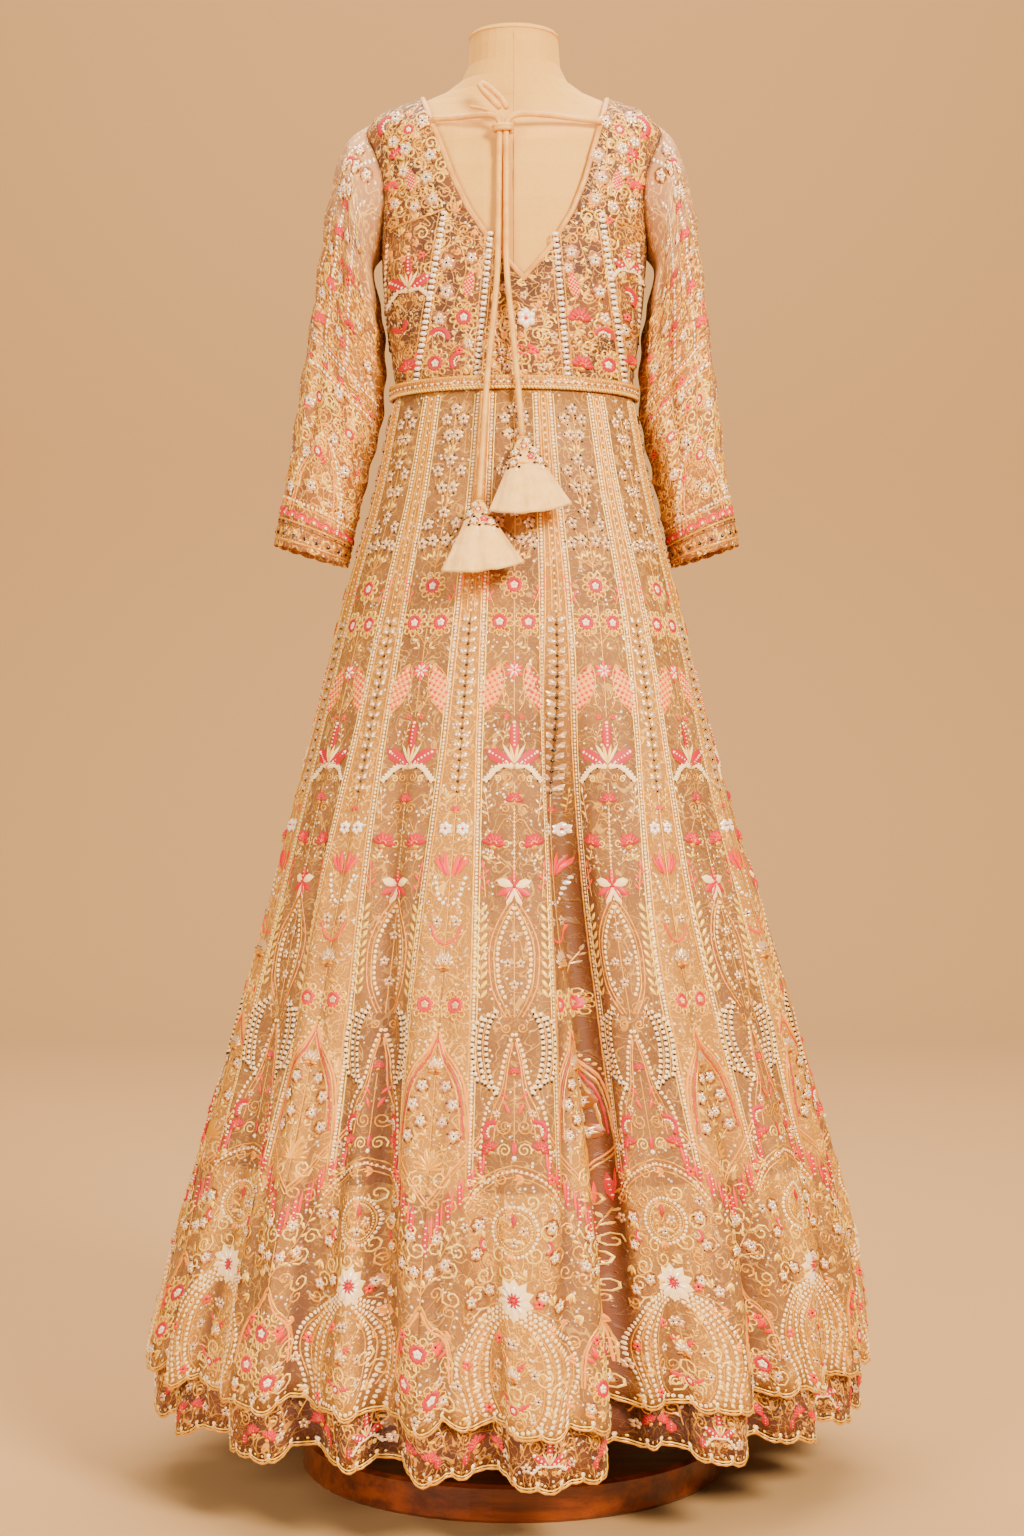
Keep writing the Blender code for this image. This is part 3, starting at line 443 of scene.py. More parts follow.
class Sleeve(Cloth):
    """A sleeve with its cuff. Rows run down from the armhole, columns round from the outer edge."""

    AROUND = 96
    ROWS = 120

    def __init__(self, side, bodice):
        self.side = side
        angle = 2 * np.pi * np.arange(self.AROUND) / self.AROUND
        share = 0.5 + 0.5 * np.cos(angle)
        first = []
        for a, s in zip(angle, share):
            deepest = ARMHOLE_BACK_TURN if math.sin(a) > 0 else -ARMHOLE_FRONT_TURN
            turn, height = armhole(s, side, deepest)
            first.append(bodice.by_turn(np.array(turn), np.array(height)))
        rings = [np.array(first) + (side * 0.0002, 0.0, 0.0)]
        for values in SLEEVE_SECTIONS:
            row = dict(zip(SLEEVE_COLUMNS, values))
            swing = fuller = 0.0
            if side < 0:
                swing = LEFT_SWING * (1.0 - smooth_step(row["outer_z"], SLEEVE_SECTIONS[-1][1], 1.5))
                fuller = LEFT_FULLER
            x = row["inner_x"] + (row["outer_x"] + fuller - row["inner_x"]) * share + swing
            z = row["inner_z"] + (row["outer_z"] - row["inner_z"]) * share
            rings.append(
                np.stack([side * x, row["centre_y"] - row["half_depth"] * np.sin(angle), z], axis=1)
            )
        rings = np.array(rings)
        fine = [smooth_path(rings[:, c], count=self.ROWS + 1) for c in range(self.AROUND)]
        grid = np.stack(fine, axis=1)
        self.length = float(np.linalg.norm(np.diff(grid[:, 24], axis=0), axis=1).sum())
        super().__init__(grid, closed=True)
        inwards = self.grid - self.grid.mean(axis=1, keepdims=True)
        if np.sum(self.normal * inwards) < 0:
            self.normal = -self.normal
        self.girths = [self.girth(row) for row in range(0, self.ROWS + 1, 10)]

    def crease(self, column, row):
        """Soft folds that run down the sleeve, with a few slanting ones across them."""
        soft = smooth_step(row, 3.0, 28.0) * (1.0 - smooth_step(row, 84.0, 112.0))
        down = 0.0024 * np.sin(column * 0.52 + row * 0.035)
        down = down + 0.0014 * np.sin(column * 0.92 - row * 0.05 + 1.0)
        return soft * (down + 0.0013 * np.sin(row * 0.45 + 1.3 * np.sin(column * 0.13)))

    def girth(self, row):
        ring = self.grid[int(np.clip(row, 0, self.ROWS))]
        return float(np.linalg.norm(np.roll(ring, -1, axis=0) - ring, axis=1).sum())

    def place(self, back, x, z, lift):
        """Points x outwards of the sleeve's middle and z, negative, down from its armhole."""
        row = -z / self.length * self.ROWS
        around = np.interp(row, np.arange(0, self.ROWS + 1, 10), self.girths) / self.AROUND
        column = 24 - x / around if back else 72 + x / around
        return self.at(column, row, lift + self.crease(column, row))


# ---------------------------------------------------------------- finishes


class Value:
    """A number that varies over a surface: a node's socket, with arithmetic."""

    def __init__(self, finish, socket):
        self.finish = finish
        self.socket = socket

    def maths(self, operation, first, second=0.0, third=0.0, clamp=False):
        settings = {"operation": operation, "use_clamp": clamp}
        return self.finish.value("Math", settings, {0: first, 1: second, 2: third})

    def __add__(self, other):
        return self.maths("ADD", self, other)

    def __sub__(self, other):
        return self.maths("SUBTRACT", self, other)

    def __mul__(self, other):
        return self.maths("MULTIPLY", self, other)

    def __truediv__(self, other):
        return self.maths("DIVIDE", self, other)

    def __pow__(self, other):
        return self.maths("POWER", self, other)

    def __radd__(self, other):
        return self.maths("ADD", other, self)

    def __rsub__(self, other):
        return self.maths("SUBTRACT", other, self)

    def __rmul__(self, other):
        return self.maths("MULTIPLY", other, self)

    def size(self):
        return self.maths("ABSOLUTE", self)

    def wave(self):
        return self.maths("SINE", self)

    def rise(self, low, high):
        """0 below low, 1 above high, smooth between; it falls instead where high is the smaller."""
        settings = {"interpolation_type": "SMOOTHSTEP"}
        if low < high:
            sockets = {"Value": self, "From Min": low, "From Max": high}
            return self.finish.value("MapRange", settings, sockets)
        sockets = {"Value": self, "From Min": high, "From Max": low, "To Min": 1.0, "To Max": 0.0}
        return self.finish.value("MapRange", settings, sockets)


class Finish:
    """A material built up from nodes around one shader."""

    def __init__(self, name, roughness=0.6, metallic=0.0, **constants):
        self.material = bpy.data.materials.new(name)
        self.material.use_nodes = True
        self.tree = self.material.node_tree
        self.shader = self.tree.nodes["Principled BSDF"]
        self.set("Roughness", roughness)
        self.set("Metallic", metallic)
        for key, value in constants.items():
            self.set(key.replace("_", " "), value)

    def node(self, kind, settings, sockets):
        made = self.tree.nodes.new("ShaderNode" + kind)
        for key, value in settings.items():
            setattr(made, key, value)
        for key, value in sockets.items():
            self.join(made.inputs[key], value)
        return made

    def join(self, socket, value):
        if isinstance(value, Value):
            self.tree.links.new(value.socket, socket)
        else:
            socket.default_value = (*value, 1.0) if socket.type == "RGBA" and len(value) == 3 else value

    def value(self, kind, settings, sockets, output=0):
        return Value(self, self.node(kind, settings, sockets).outputs[output])

    def set(self, socket, value):
        self.join(self.shader.inputs[socket], value)

    def blend(self, share, first, second):
        """A colour between two, by share."""
        made = self.node("Mix", {"data_type": "RGBA"}, {0: share})
        self.join(made.inputs[6], first)
        self.join(made.inputs[7], second)
        return Value(self, made.outputs[2])

    def layout(self, name):
        return self.value("UVMap", {"uv_map": name}, {})

    def parts(self, vector):
        split = self.node("SeparateXYZ", {}, {0: vector})
        return [Value(self, split.outputs[k]) for k in range(3)]

    def places(self):
        return self.value("TexCoord", {}, {}, 3)

    def stretched(self, vector, scale):
        return self.value("VectorMath", {"operation": "MULTIPLY"}, {0: vector, 1: scale})

    def noise(self, vector, scale, detail=2.0, roughness=0.5, distortion=0.0):
        sockets = {"Vector": vector, "Scale": scale, "Detail": detail, "Roughness": roughness}
        return self.value("TexNoise", {}, {**sockets, "Distortion": distortion})

    def shifted(self, vector, scale, amount):
        """The vector moved about by a noise."""
        drift = self.value("TexNoise", {}, {"Vector": vector, "Scale": scale, "Detail": 2.0}, 1)
        centred = self.value("VectorMath", {"operation": "SUBTRACT"}, {0: drift, 1: (0.5, 0.5, 0.5)})
        moved = self.stretched(centred, (amount, amount, amount))
        return self.value("VectorMath", {"operation": "ADD"}, {0: vector, 1: moved})

    def cells(self, vector, scale):
        settings = {"feature": "F1", "voronoi_dimensions": "3D"}
        return self.value("TexVoronoi", settings, {"Vector": vector, "Scale": scale})

    def bump(self, height, strength, distance):
        sockets = {"Height": height, "Strength": strength, "Distance": distance}
        self.set("Normal", self.value("Bump", {}, sockets))


STRENGTH = 1.4


def linear(red, green, blue):
    """A colour from display values of 0 to 255, made stronger because the studio view softens colours."""
    values = [((c / 255 + 0.055) / 1.055) ** 2.4 if c > 10 else c / 255 / 12.92 for c in (red, green, blue)]
    grey = 0.25 * values[0] + 0.65 * values[1] + 0.1 * values[2]
    return tuple(max(0.0, grey + (value - grey) * STRENGTH) for value in values)


def plain_finish(name, colour, roughness, metallic=0.0, **constants):
    made = Finish(name, roughness, metallic, **constants)
    made.set("Base Color", linear(*colour))
    return made.material


# Threads, beads and sequins: colour, roughness, metallic, coat
THREAD_COLUMNS = ("colour", "roughness", "metallic", "coat")
THREADS = {
    "gold": ((208, 152, 72), 0.38, 0.25, 0.0),
    "pale_gold": ((238, 198, 128), 0.38, 0.15, 0.0),
    "deep_gold": ((140, 86, 40), 0.42, 0.3, 0.0),
    "peach": ((232, 154, 100), 0.55, 0.0, 0.0),
    "coral": ((186, 26, 16), 0.5, 0.0, 0.0),
    "red": ((168, 12, 8), 0.6, 0.0, 0.0),
    "pink": ((214, 84, 66), 0.5, 0.0, 0.0),
    "cream": ((252, 218, 170), 0.45, 0.0, 0.0),
    "silver": ((218, 180, 142), 0.3, 0.35, 0.3),
    "bright_silver": ((255, 234, 208), 0.22, 0.1, 0.6),
    "pearl": ((250, 220, 178), 0.25, 0.0, 0.6),
    "crystal": ((44, 28, 24), 0.12, 0.5, 0.5),
}
THREAD_NAMES = list(THREADS)


def thread_finishes():
    made = []
    for name, values in THREADS.items():
        thread = dict(zip(THREAD_COLUMNS, values))
        made.append(
            plain_finish(
                name + "_thread",
                thread["colour"],
                thread["roughness"],
                thread["metallic"],
                Coat_Weight=thread["coat"],
            )
        )
    return made


# ---------------------------------------------------------------- stitching


def dome(sides):
    """A bead's upper half, one across, as a base ring and a top."""
    turn = 2 * np.pi * np.arange(sides) / sides
    rim = np.stack([np.cos(turn), np.sin(turn), np.zeros(sides)], axis=1)
    points = np.concatenate([rim, [[0.0, 0.0, 1.0]]])
    return points, np.array([(i, (i + 1) % sides, sides) for i in range(sides)])


BEAD = dome(6)
ROUND_BEAD = (
    np.array(
        [
            (math.cos(a) * r, math.sin(a) * r, h)
            for r, h in ((1.0, 0.0), (0.72, 0.75))
            for a in np.arange(6) * np.pi / 3
        ]
        + [(0.0, 0.0, 1.0)]
    ),
    np.array(
        [(i, (i + 1) % 6, 6 + (i + 1) % 6) for i in range(6)]
        + [(i, 6 + (i + 1) % 6, 6 + i) for i in range(6)]
        + [(6 + i, 6 + (i + 1) % 6, 12) for i in range(6)]
    ),
)
# A petal from its foot at 0 to its tip at 1, with a ridge along its middle
PETAL = (
    np.array(
        [
            (0.0, 0.0, 0.0),
            (-0.4, 0.34, 0.1),
            (0.0, 0.34, 1.0),
            (0.4, 0.34, 0.1),
            (-0.42, 0.7, 0.1),
            (0.0, 0.7, 0.9),
            (0.42, 0.7, 0.1),
            (0.0, 1.0, 0.0),
        ]
    ),
    np.array(
        [(0, 2, 1), (0, 3, 2), (1, 2, 4), (2, 5, 4), (2, 3, 5), (3, 6, 5), (4, 5, 7), (5, 6, 7)]
    ),
)


def beside(points, distance):
    """A line moved sideways by a distance, to the right of its run."""
    along = np.gradient(points, axis=0)
    along /= np.linalg.norm(along, axis=1, keepdims=True) + 1e-12
    return points + np.stack([along[:, 1], -along[:, 0]], axis=1) * distance


def circle(x, z, radius, count, start=0.0, share=1.0):
    turn = np.radians(start) + 2 * np.pi * share * np.arange(count) / count
    return np.stack([x + radius * np.sin(turn), z + radius * np.cos(turn)], axis=1)


def mirrored(knots):
    """A line's knots on the left of the middle, then on its right."""
    return [[(side * x, z) for x, z in knots] for side in (-1, 1)]


class Stitching:
    """Embroidery worked flat. Turns are in degrees from straight up, clockwise."""

    def __init__(self):
        self.points, self.faces, self.threads = [], [], []
        self.count = 0

    def add(self, points, faces, thread):
        self.points.append(np.asarray(points, float))
        self.faces.append(np.asarray(faces) + self.count)
        self.threads.append(np.full(len(faces), THREAD_NAMES.index(thread)))
        self.count += len(points)

    def repeat(self, shape, places, thread):
        """The shape at each place: x, z, width, length, turn, height."""
        points, faces = shape
        places = np.atleast_2d(np.asarray(places, float))
        x, z, wide, long, turn, tall = (places[:, k, None] for k in range(6))
        sine, cosine = np.sin(np.radians(turn)), np.cos(np.radians(turn))
        across, up = points[:, 0] * wide, points[:, 1] * long
        laid = [x + across * cosine + up * sine, z - across * sine + up * cosine, points[:, 2] * tall]
        self.add(
            np.stack(laid, axis=2).reshape(-1, 3),
            (faces[None] + (np.arange(len(places)) * len(points))[:, None, None]).reshape(-1, 3),
            thread,
        )

    def beads(self, spots, radius, thread, tall=0.8, shape=BEAD):
        spots = np.atleast_2d(spots)
        size = np.broadcast_to(radius, len(spots))
        turn = (np.arange(len(spots)) * 47.0) % 60
        self.repeat(shape, np.stack([*spots.T, size, size, turn, size * tall], axis=1), thread)

    def petals(self, places, thread, tall=0.0016):
        """Rows of x, z, width, length, turn."""
        places = np.atleast_2d(np.asarray(places, float))
        self.repeat(PETAL, np.concatenate([places, np.full((len(places), 1), tall)], axis=1), thread)

    def line(self, points, width, thread, tall=None, beaded=0.0):
        """A raised line of thread; beaded makes it swell and shrink from point to point."""
        points = np.asarray(points, float)
        swell = 1.0 + beaded * (np.arange(len(points)) % 2 - 0.5)
        left = beside(points, -0.5 * width * swell[:, None])
        right = beside(points, 0.5 * width * swell[:, None])
        top = (0.45 * width if tall is None else tall) * swell
        flat = np.zeros((len(points), 1))
        laid = np.stack(
            [
                np.concatenate([left, flat], axis=1),
                np.concatenate([points, top[:, None]], axis=1),
                np.concatenate([right, flat], axis=1),
            ],
            axis=1,
        ).reshape(-1, 3)
        faces = []
        for i in range(len(points) - 1):
            a = 3 * i
            faces += [(a, a + 1, a + 4), (a, a + 4, a + 3), (a + 1, a + 2, a + 5), (a + 1, a + 5, a + 4)]
        self.add(laid, faces, thread)

    def curve(self, knots, width, thread, step=0.0065, beaded=0.0):
        self.line(smooth_path(knots, step=step), width, thread, beaded=beaded)

    def pearl_line(self, knots, spacing=0.0045, radius=0.0018, thread="pearl", shape=BEAD):
        self.beads(smooth_path(knots, step=spacing), radius, thread, shape=shape)

    def take(self, other):
        """Adds another chart's stitches to these."""
        self.points = self.points + other.points
        self.faces = self.faces + [faces + self.count for faces in other.faces]
        self.threads = self.threads + other.threads
        self.count += other.count

    def stem(self, top, middle, foot, width=0.0013):
        self.curve([(0.0, top), (0.0, middle), (0.0, foot)], width, "gold")

    def curves(self, knots, *looks, **more):
        for line in mirrored(knots):
            self.curve(line, *looks, **more)

    def pearl_lines(self, knots, *looks):
        for line in mirrored(knots):
            self.pearl_line(line, *looks)

    def vines(self, knots, **looks):
        for line in mirrored(knots):
            self.vine(line, **looks)

    def petal_pair(self, places, thread, tall=0.0016):
        for side in (-1, 1):
            rows = [(side * x, z, wide, long, side * turn) for x, z, wide, long, turn in places]
            self.petals(rows, thread, tall)

    def both(self, motif, *rows):
        """A motif on both sides of the middle: x, turn and hand change sign, the rest stays."""
        for x, z, size, *rest in rows:
            for side in (-1, 1):
                turned = [v if isinstance(v, str) else side * v for v in rest[:2]]
                motif(side * x, z, size, *turned, *rest[2:])

    # ------------------------------------------------------------ motifs

    def sequin_flower(self, x, z, radius, turn=0.0, thread="silver", eye="crystal", petals=5):
        spread = turn + 360.0 * np.arange(petals) / petals
        self.petals([(x, z, radius * 0.78, radius, t) for t in spread], thread, radius * 0.4)
        self.beads([(x, z)], radius * 0.26, eye, 1.8)

    def ring_flower(self, x, z, radius, ring="red", middle="bright_silver", lobes=9, thread="gold"):
        """A round flower of looped gold chain with a coloured ring and a sequin middle."""
        for loops, inner, outer, start, colour in (
            (lobes, 0.6, 1.0, 0.0, "pale_gold"),
            (lobes, 0.46, 0.8, 180.0 / lobes, thread),
            (lobes - 2, 0.38, 0.62, 0.0, "pale_gold"),
        ):
            turn = start + 360.0 * np.arange(loops * 4 + 1) / (loops * 4)
            reach = np.tile([inner, outer * 0.93, outer, outer * 0.93], loops)
            reach = np.append(reach, inner) * radius
            turn = np.radians(turn)
            spots = np.stack([x + reach * np.sin(turn), z + reach * np.cos(turn)], axis=1)
            self.line(spots, radius * 0.1, colour, radius * 0.1)
        self.line(circle(x, z, radius * 0.43, 13, share=13 / 12), radius * 0.32, ring, radius * 0.16)
        self.petals([(x, z, radius * 0.28, radius * 0.3, t) for t in range(0, 360, 72)], middle, 0.0026)
        self.beads([(x, z)], radius * 0.09, "silver", 2.4)

    def carnation(self, x, z, radius, turn=0.0, thread="red", cup="gold"):
        """A fan of petals over a gold cup, seen from the side."""
        fan = [(x, z, radius * 0.45, radius * (1.0 - 0.12 * (k % 2)), turn - 78 + 26 * k) for k in range(7)]
        self.petals(fan, thread, radius * 0.22)
        inner = [(x, z, radius * 0.2, radius * 0.75, turn - 50 + 33 * k) for k in range(4)]
        self.petals(inner, "pink", radius * 0.3)
        self.petals([(x, z, radius * 0.62, radius * 0.42, turn + 180)], cup, radius * 0.3)
        self.beads(circle(x, z, radius * 0.25, 5, turn - 60, 0.42), radius * 0.1, "pearl", 2.4)

    def scroll(self, x, z, radius, turn=0.0, hand=1, thread="gold", width=0.0016, coils=1.35, knots=15):
        """A curl that winds in from the outside."""
        share = np.linspace(0.0, 1.0, knots)
        angle = np.radians(turn) + hand * share * coils * 2 * np.pi
        reach = radius * (1.0 - 0.8 * share)
        self.line(np.stack([x + reach * np.sin(angle), z + reach * np.cos(angle)], axis=1), width, thread)

    def sprig(self, x, z, length, turn=0.0, thread="silver", leaves=5, stem="gold", leaf=0.34):
        """A short stem with leaves to both sides and one at its tip."""
        sine, cosine = math.sin(math.radians(turn)), math.cos(math.radians(turn))
        spots = [(x + sine * length * t, z + cosine * length * t) for t in (0.0, 0.5, 1.0)]
        self.line(spots, 0.0011, stem)
        rows = [(*spots[2], length * leaf * 0.42, length * leaf, turn)]
        for k in range(leaves - 1):
            share = 0.25 + 0.75 * k / max(leaves - 1, 1)
            side = 1 if k % 2 else -1
            spot = (x + sine * length * share, z + cosine * length * share)
            rows.append((*spot, length * leaf * 0.36, length * leaf * 0.85, turn + side * 48))
        self.petals(rows, thread, 0.0012)

    def leaf_pair(self, x, z, length, turn, thread, spread=35.0):
        rows = [(x, z, length * 0.4, length, turn + side * spread) for side in (-1, 1)]
        self.petals(rows, thread, 0.0013)

    def vine(self, knots, thread="gold", leaf_thread="pale_gold", leaf=0.006, gap=0.01, width=0.0013):
        """A stem with small leaves set alternately along it."""
        path = smooth_path(knots, step=0.004)
        self.line(path, width, thread)
        every = max(1, int(round(gap / 0.004)))
        rows = []
        for k, i in enumerate(range(every // 2 + 1, len(path) - 1, every)):
            step = path[i + 1] - path[i - 1]
            along = math.degrees(math.atan2(step[0], step[1]))
            rows.append((*path[i], leaf * 0.42, leaf, along + (48 if k % 2 else -48)))
        if rows:
            self.petals(rows, leaf_thread, 0.0012)

    def checked_leaf(self, x, z, length, turn):
        """A broad peach leaf with a lattice of red and white stitches and a corded edge."""
        sine, cosine = math.sin(math.radians(turn)), math.cos(math.radians(turn))

        def laid(u, v):
            return x + u * cosine + v * sine, z - u * sine + v * cosine

        share = np.linspace(0.0, 1.0, 9)
        half = length * 0.19 * np.sin(np.pi * share**0.85) ** 0.9
        self.petals([(x, z, length * 0.42, length, turn)], "peach", 0.0008)
        for side in (-1, 1):
            edge = np.array([laid(side * h, length * s) for h, s in zip(half, share)])
            self.line(edge, 0.0013, "gold")
        red, white = [], []
        step = length * 0.068
        for i, v in enumerate(np.arange(0.14, 0.92, 0.068)):
            wide = length * 0.16 * math.sin(math.pi * v**0.85)
            count = int(wide / step)
            for k in range(-count, count + 1):
                (red if (i + k) % 2 else white).append(laid(k * step, v * length))
        self.beads(np.array(red), 0.0019, "coral", 1.2)
        self.beads(np.array(white), 0.0012, "cream", 1.9)

    def beaded_petal(self, x, z, width, length, turn, thread, bead="pearl", spacing=0.0042, radius=0.0014):
        """A satin petal with a row of beads along its middle."""
        self.petals([(x, z, width, length, turn)], thread, 0.0018)
        sine, cosine = math.sin(math.radians(turn)), math.cos(math.radians(turn))
        along = np.arange(length * 0.28, length * 0.92, spacing)
        spots = np.stack([x + sine * along, z + cosine * along], axis=1)
        self.repeat(BEAD, [(*s, radius, radius, 0, 0.003) for s in spots], bead)

    def lotus(self, x, z, size):
        """An open lotus on its cup, with cream petals between the red ones and curved sepals."""
        self.beaded_petal(x, z + size * 0.4, size * 0.42, size * 1.35, 0.0, "red", radius=0.0022)
        for side in (-1, 1):
            self.beaded_petal(
                x, z, size * 0.56, size * 1.24, side * 58, "red", "bright_silver", radius=0.0021,
            )
            self.petals([(x, z + size * 0.1, size * 0.14, size * 0.86, side * 30)], "cream", 0.0018)
            self.petals([(x, z + size * 0.1, size * 0.14, size * 0.75, side * 12)], "pale_gold", 0.0022)
            path = smooth_path(
                [
                    (x, z), (x + side * size * 0.5, z + size * 0.02),
                    (x + side * size * 1.05, z - size * 0.52),
                ],
                step=0.004,
            )
            self.line(path, size * 0.17, "cream", 0.0016)
            self.beads(beside(path, -side * size * 0.09)[1:], 0.0014, "bright_silver", 1.4)
            self.beads(beside(path, side * size * 0.09)[3::3], 0.0013, "crystal", 1.4)
            self.scroll(x + side * size * 0.25, z - size * 0.36, size * 0.17, side * 30, side, "gold")
            self.scroll(x + side * size * 0.58, z - size * 0.42, size * 0.13, side * 60, -side, "pale_gold")
            self.sprig(x + side * size * 0.42, z + size * 0.8, size * 0.62, side * -14, "silver", 5)
        self.beads([(x, z)], size * 0.1, "gold", 1.0)

    def butterfly_flower(self, x, z, size):
        """A flower seen from the front: cream upper petals, coral side petals, striped lower ones."""
        rows = [(x, z, size * 0.5, size * 0.95, side * 72) for side in (-1, 1)]
        self.petals(rows, "cream", 0.0024)
        rows = [(x, z, size * 0.4, size * 1.0, side * 118) for side in (-1, 1)]
        self.petals(rows, "coral", 0.0018)
        rows = [(x, z, size * 0.4, size * 1.05, side * 158) for side in (-1, 1)]
        self.petals(rows, "cream", 0.002)
        self.petals([(x, z, size * 0.16, size * 0.95, side * 150) for side in (-1, 1)], "coral", 0.003)
        self.petals([(x, z, size * 0.16, size * 0.62, side * 34) for side in (-1, 1)], "red", 0.002)
        self.beaded_petal(x, z, size * 0.22, size * 1.0, 0.0, "pink", radius=0.0012)
        self.beads([(x, z)], size * 0.12, "red", 1.6)

    def pinecone(self, x, z, size, turn=0.0):
        """A pomegranate flower: silver scales in rows over a gold cup."""
        for k, (count, spread, reach) in enumerate(((2, 28, 1.25), (3, 70, 1.05), (4, 115, 0.85))):
            turns = turn + np.linspace(-0.5, 0.5, count) * spread
            self.petals([(x, z, size * 0.42, size * reach, t) for t in turns], "silver", 0.002 + 0.0006 * k)
        self.beads(circle(x, z, size * 0.48, 4, turn - 55, 0.42), size * 0.1, "crystal", 3.2)
        fan = [(x, z, size * 0.3, size * 0.62, turn + t) for t in (-100, -60, -20, 20, 60, 100)]
        self.petals(fan, "gold", 0.0038)
        self.petals([(x, z, size * 0.6, size * 0.4, turn + 180)], "deep_gold", 0.0016)

    def white_flower(self, x, z, radius):
        """A big flower of ten white petals round a red middle."""
        turns = 36.0 * np.arange(10)
        self.petals([(x, z, radius * 0.52, radius, t) for t in turns], "cream", 0.0022)
        self.petals([(x, z, radius * 0.24, radius * 0.86, t) for t in turns], "bright_silver", 0.0034)
        self.petals([(x, z, radius * 0.24, radius * 0.4, t + 18) for t in turns], "red", 0.0042)
        self.beads([(x, z)], radius * 0.16, "coral", 2.0)
        self.beads(circle(x, z, radius * 0.3, 8), radius * 0.05, "pearl", 5.0)

    def cluster(self, x, z, radius, turn=0.0):
        """A silver-beaded flower head on a gold cup, over a dark gold disc that shows round it as painted
        shade.
        """
        # Painted shade: a dark disc under the head stands for the shadow round its beads.
        self.beads([(x, z)], radius * 1.18, "deep_gold", 0.02, dome(8))
        self.petals(
            [(x, z, radius * 0.7, radius * 1.15, turn + 180 + t) for t in (-28, 28)], "gold", 0.0012
        )
        self.sequin_flower(x, z, radius, turn, "silver", "crystal", 5)
        self.petals(
            [
                (x, z, radius * 0.5, radius * 0.6, turn + t) for t in range(36, 360, 72)
            ], "bright_silver", 0.003
        )
        self.beads(circle(x, z, radius * 0.95, 3, turn + 60, 0.8), radius * 0.16, "crystal", 1.6)

    def crescent(self, x, z, radius, turn=0.0, thread="red"):
        """A thick curved petal with a beaded inside."""
        arc = circle(x, z, radius, 9, turn - 80, 0.5)
        self.line(arc, radius * 0.55, thread, 0.002)
        self.beads(circle(x, z, radius * 0.62, 6, turn - 70, 0.42), radius * 0.13, "bright_silver", 1.8)

    def filigree(self, left, right, low, high, gap, inside=None, size=0.0084):
        """Curls and leaves of gold thread all over an area, in a loose staggered order."""
        row = 0
        for z in np.arange(low, high, gap):
            row += 1
            for x in np.arange(left + gap * 0.5 * (row % 2), right, gap):
                x1, z1 = x + rng.uniform(-0.25, 0.25) * gap, z + rng.uniform(-0.25, 0.25) * gap
                turn, kind, hand = rng.uniform(0, 360), rng.uniform(), 1 if rng.uniform() < 0.5 else -1
                if inside is not None and not inside(x1, z1):
                    continue
                if kind < 0.62:
                    thread = "gold" if kind < 0.36 else "pale_gold"
                    self.scroll(x1, z1, size * (0.8 + 0.5 * kind), turn, hand, thread, 0.0021, 1.3, 11)
                elif kind < 0.86:
                    self.leaf_pair(x1, z1, size * 1.1, turn, "pale_gold" if kind < 0.76 else "peach", 28.0)
                    self.petals([(x1, z1, size * 0.42, size * 1.25, turn)], "gold", 0.002)
                else:
                    self.sequin_flower(x1, z1, size * 0.62, turn, "silver" if kind < 0.95 else "pink")

    def on_cloth(self, name, place, seen=None):
        """The stitching as a piece, laid by place(x, z, lift) and kept where seen(x, z) is true."""
        flat = np.concatenate(self.points)
        faces, threads = np.concatenate(self.faces), np.concatenate(self.threads)
        if seen is not None:
            kept = seen(flat[faces[:, 0], 0], flat[faces[:, 0], 1])
            faces, threads = faces[kept], threads[kept]
        laid = place(flat[:, 0], flat[:, 1], flat[:, 2] + 0.0004)
        raised = place(flat[:, 0], flat[:, 1], flat[:, 2] + 0.0104)
        a, b, c = (laid[faces[:, k]] for k in range(3))
        facing = np.sum(np.cross(b - a, c - a) * (raised[faces[:, 0]] - a))
        return make_piece(name, laid, faces if facing > 0 else faces[:, ::-1], threads)


# ---------------------------------------------------------------- pieces


def make_piece(name, points, faces, finishes=None, ride=True, materials=None, layouts=None):
    """A smooth mesh from triangles or quads, with finishes by face and UV layouts by point."""
    faces = np.asarray(faces)
    mesh = bpy.data.meshes.new(name)
    mesh.vertices.add(len(points))
    mesh.vertices.foreach_set("co", np.asarray(points, np.float32).ravel())
    sides = faces.shape[1]
    mesh.loops.add(faces.size)
    mesh.loops.foreach_set("vertex_index", faces.ravel().astype(np.int32))
    mesh.polygons.add(len(faces))
    mesh.polygons.foreach_set("loop_start", np.arange(len(faces), dtype=np.int32) * sides)
    mesh.update(calc_edges=True)
    mesh.polygons.foreach_set("use_smooth", np.ones(len(faces), bool))
    if finishes is None:
        for material in materials:
            mesh.materials.append(material)
    else:
        used = np.unique(finishes)
        for k in used:
            mesh.materials.append(thread_materials[k])
        mesh.polygons.foreach_set("material_index", np.searchsorted(used, finishes).astype(np.int32))
    for layout, values in (layouts or {}).items():
        layer = mesh.uv_layers.new(name=layout)
        layer.data.foreach_set("uv", np.asarray(values, np.float32)[faces.ravel()].ravel())
    piece = bpy.data.objects.new(name, mesh)
    bpy.context.collection.objects.link(piece)
    if ride:
        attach(piece, "root")
    return piece


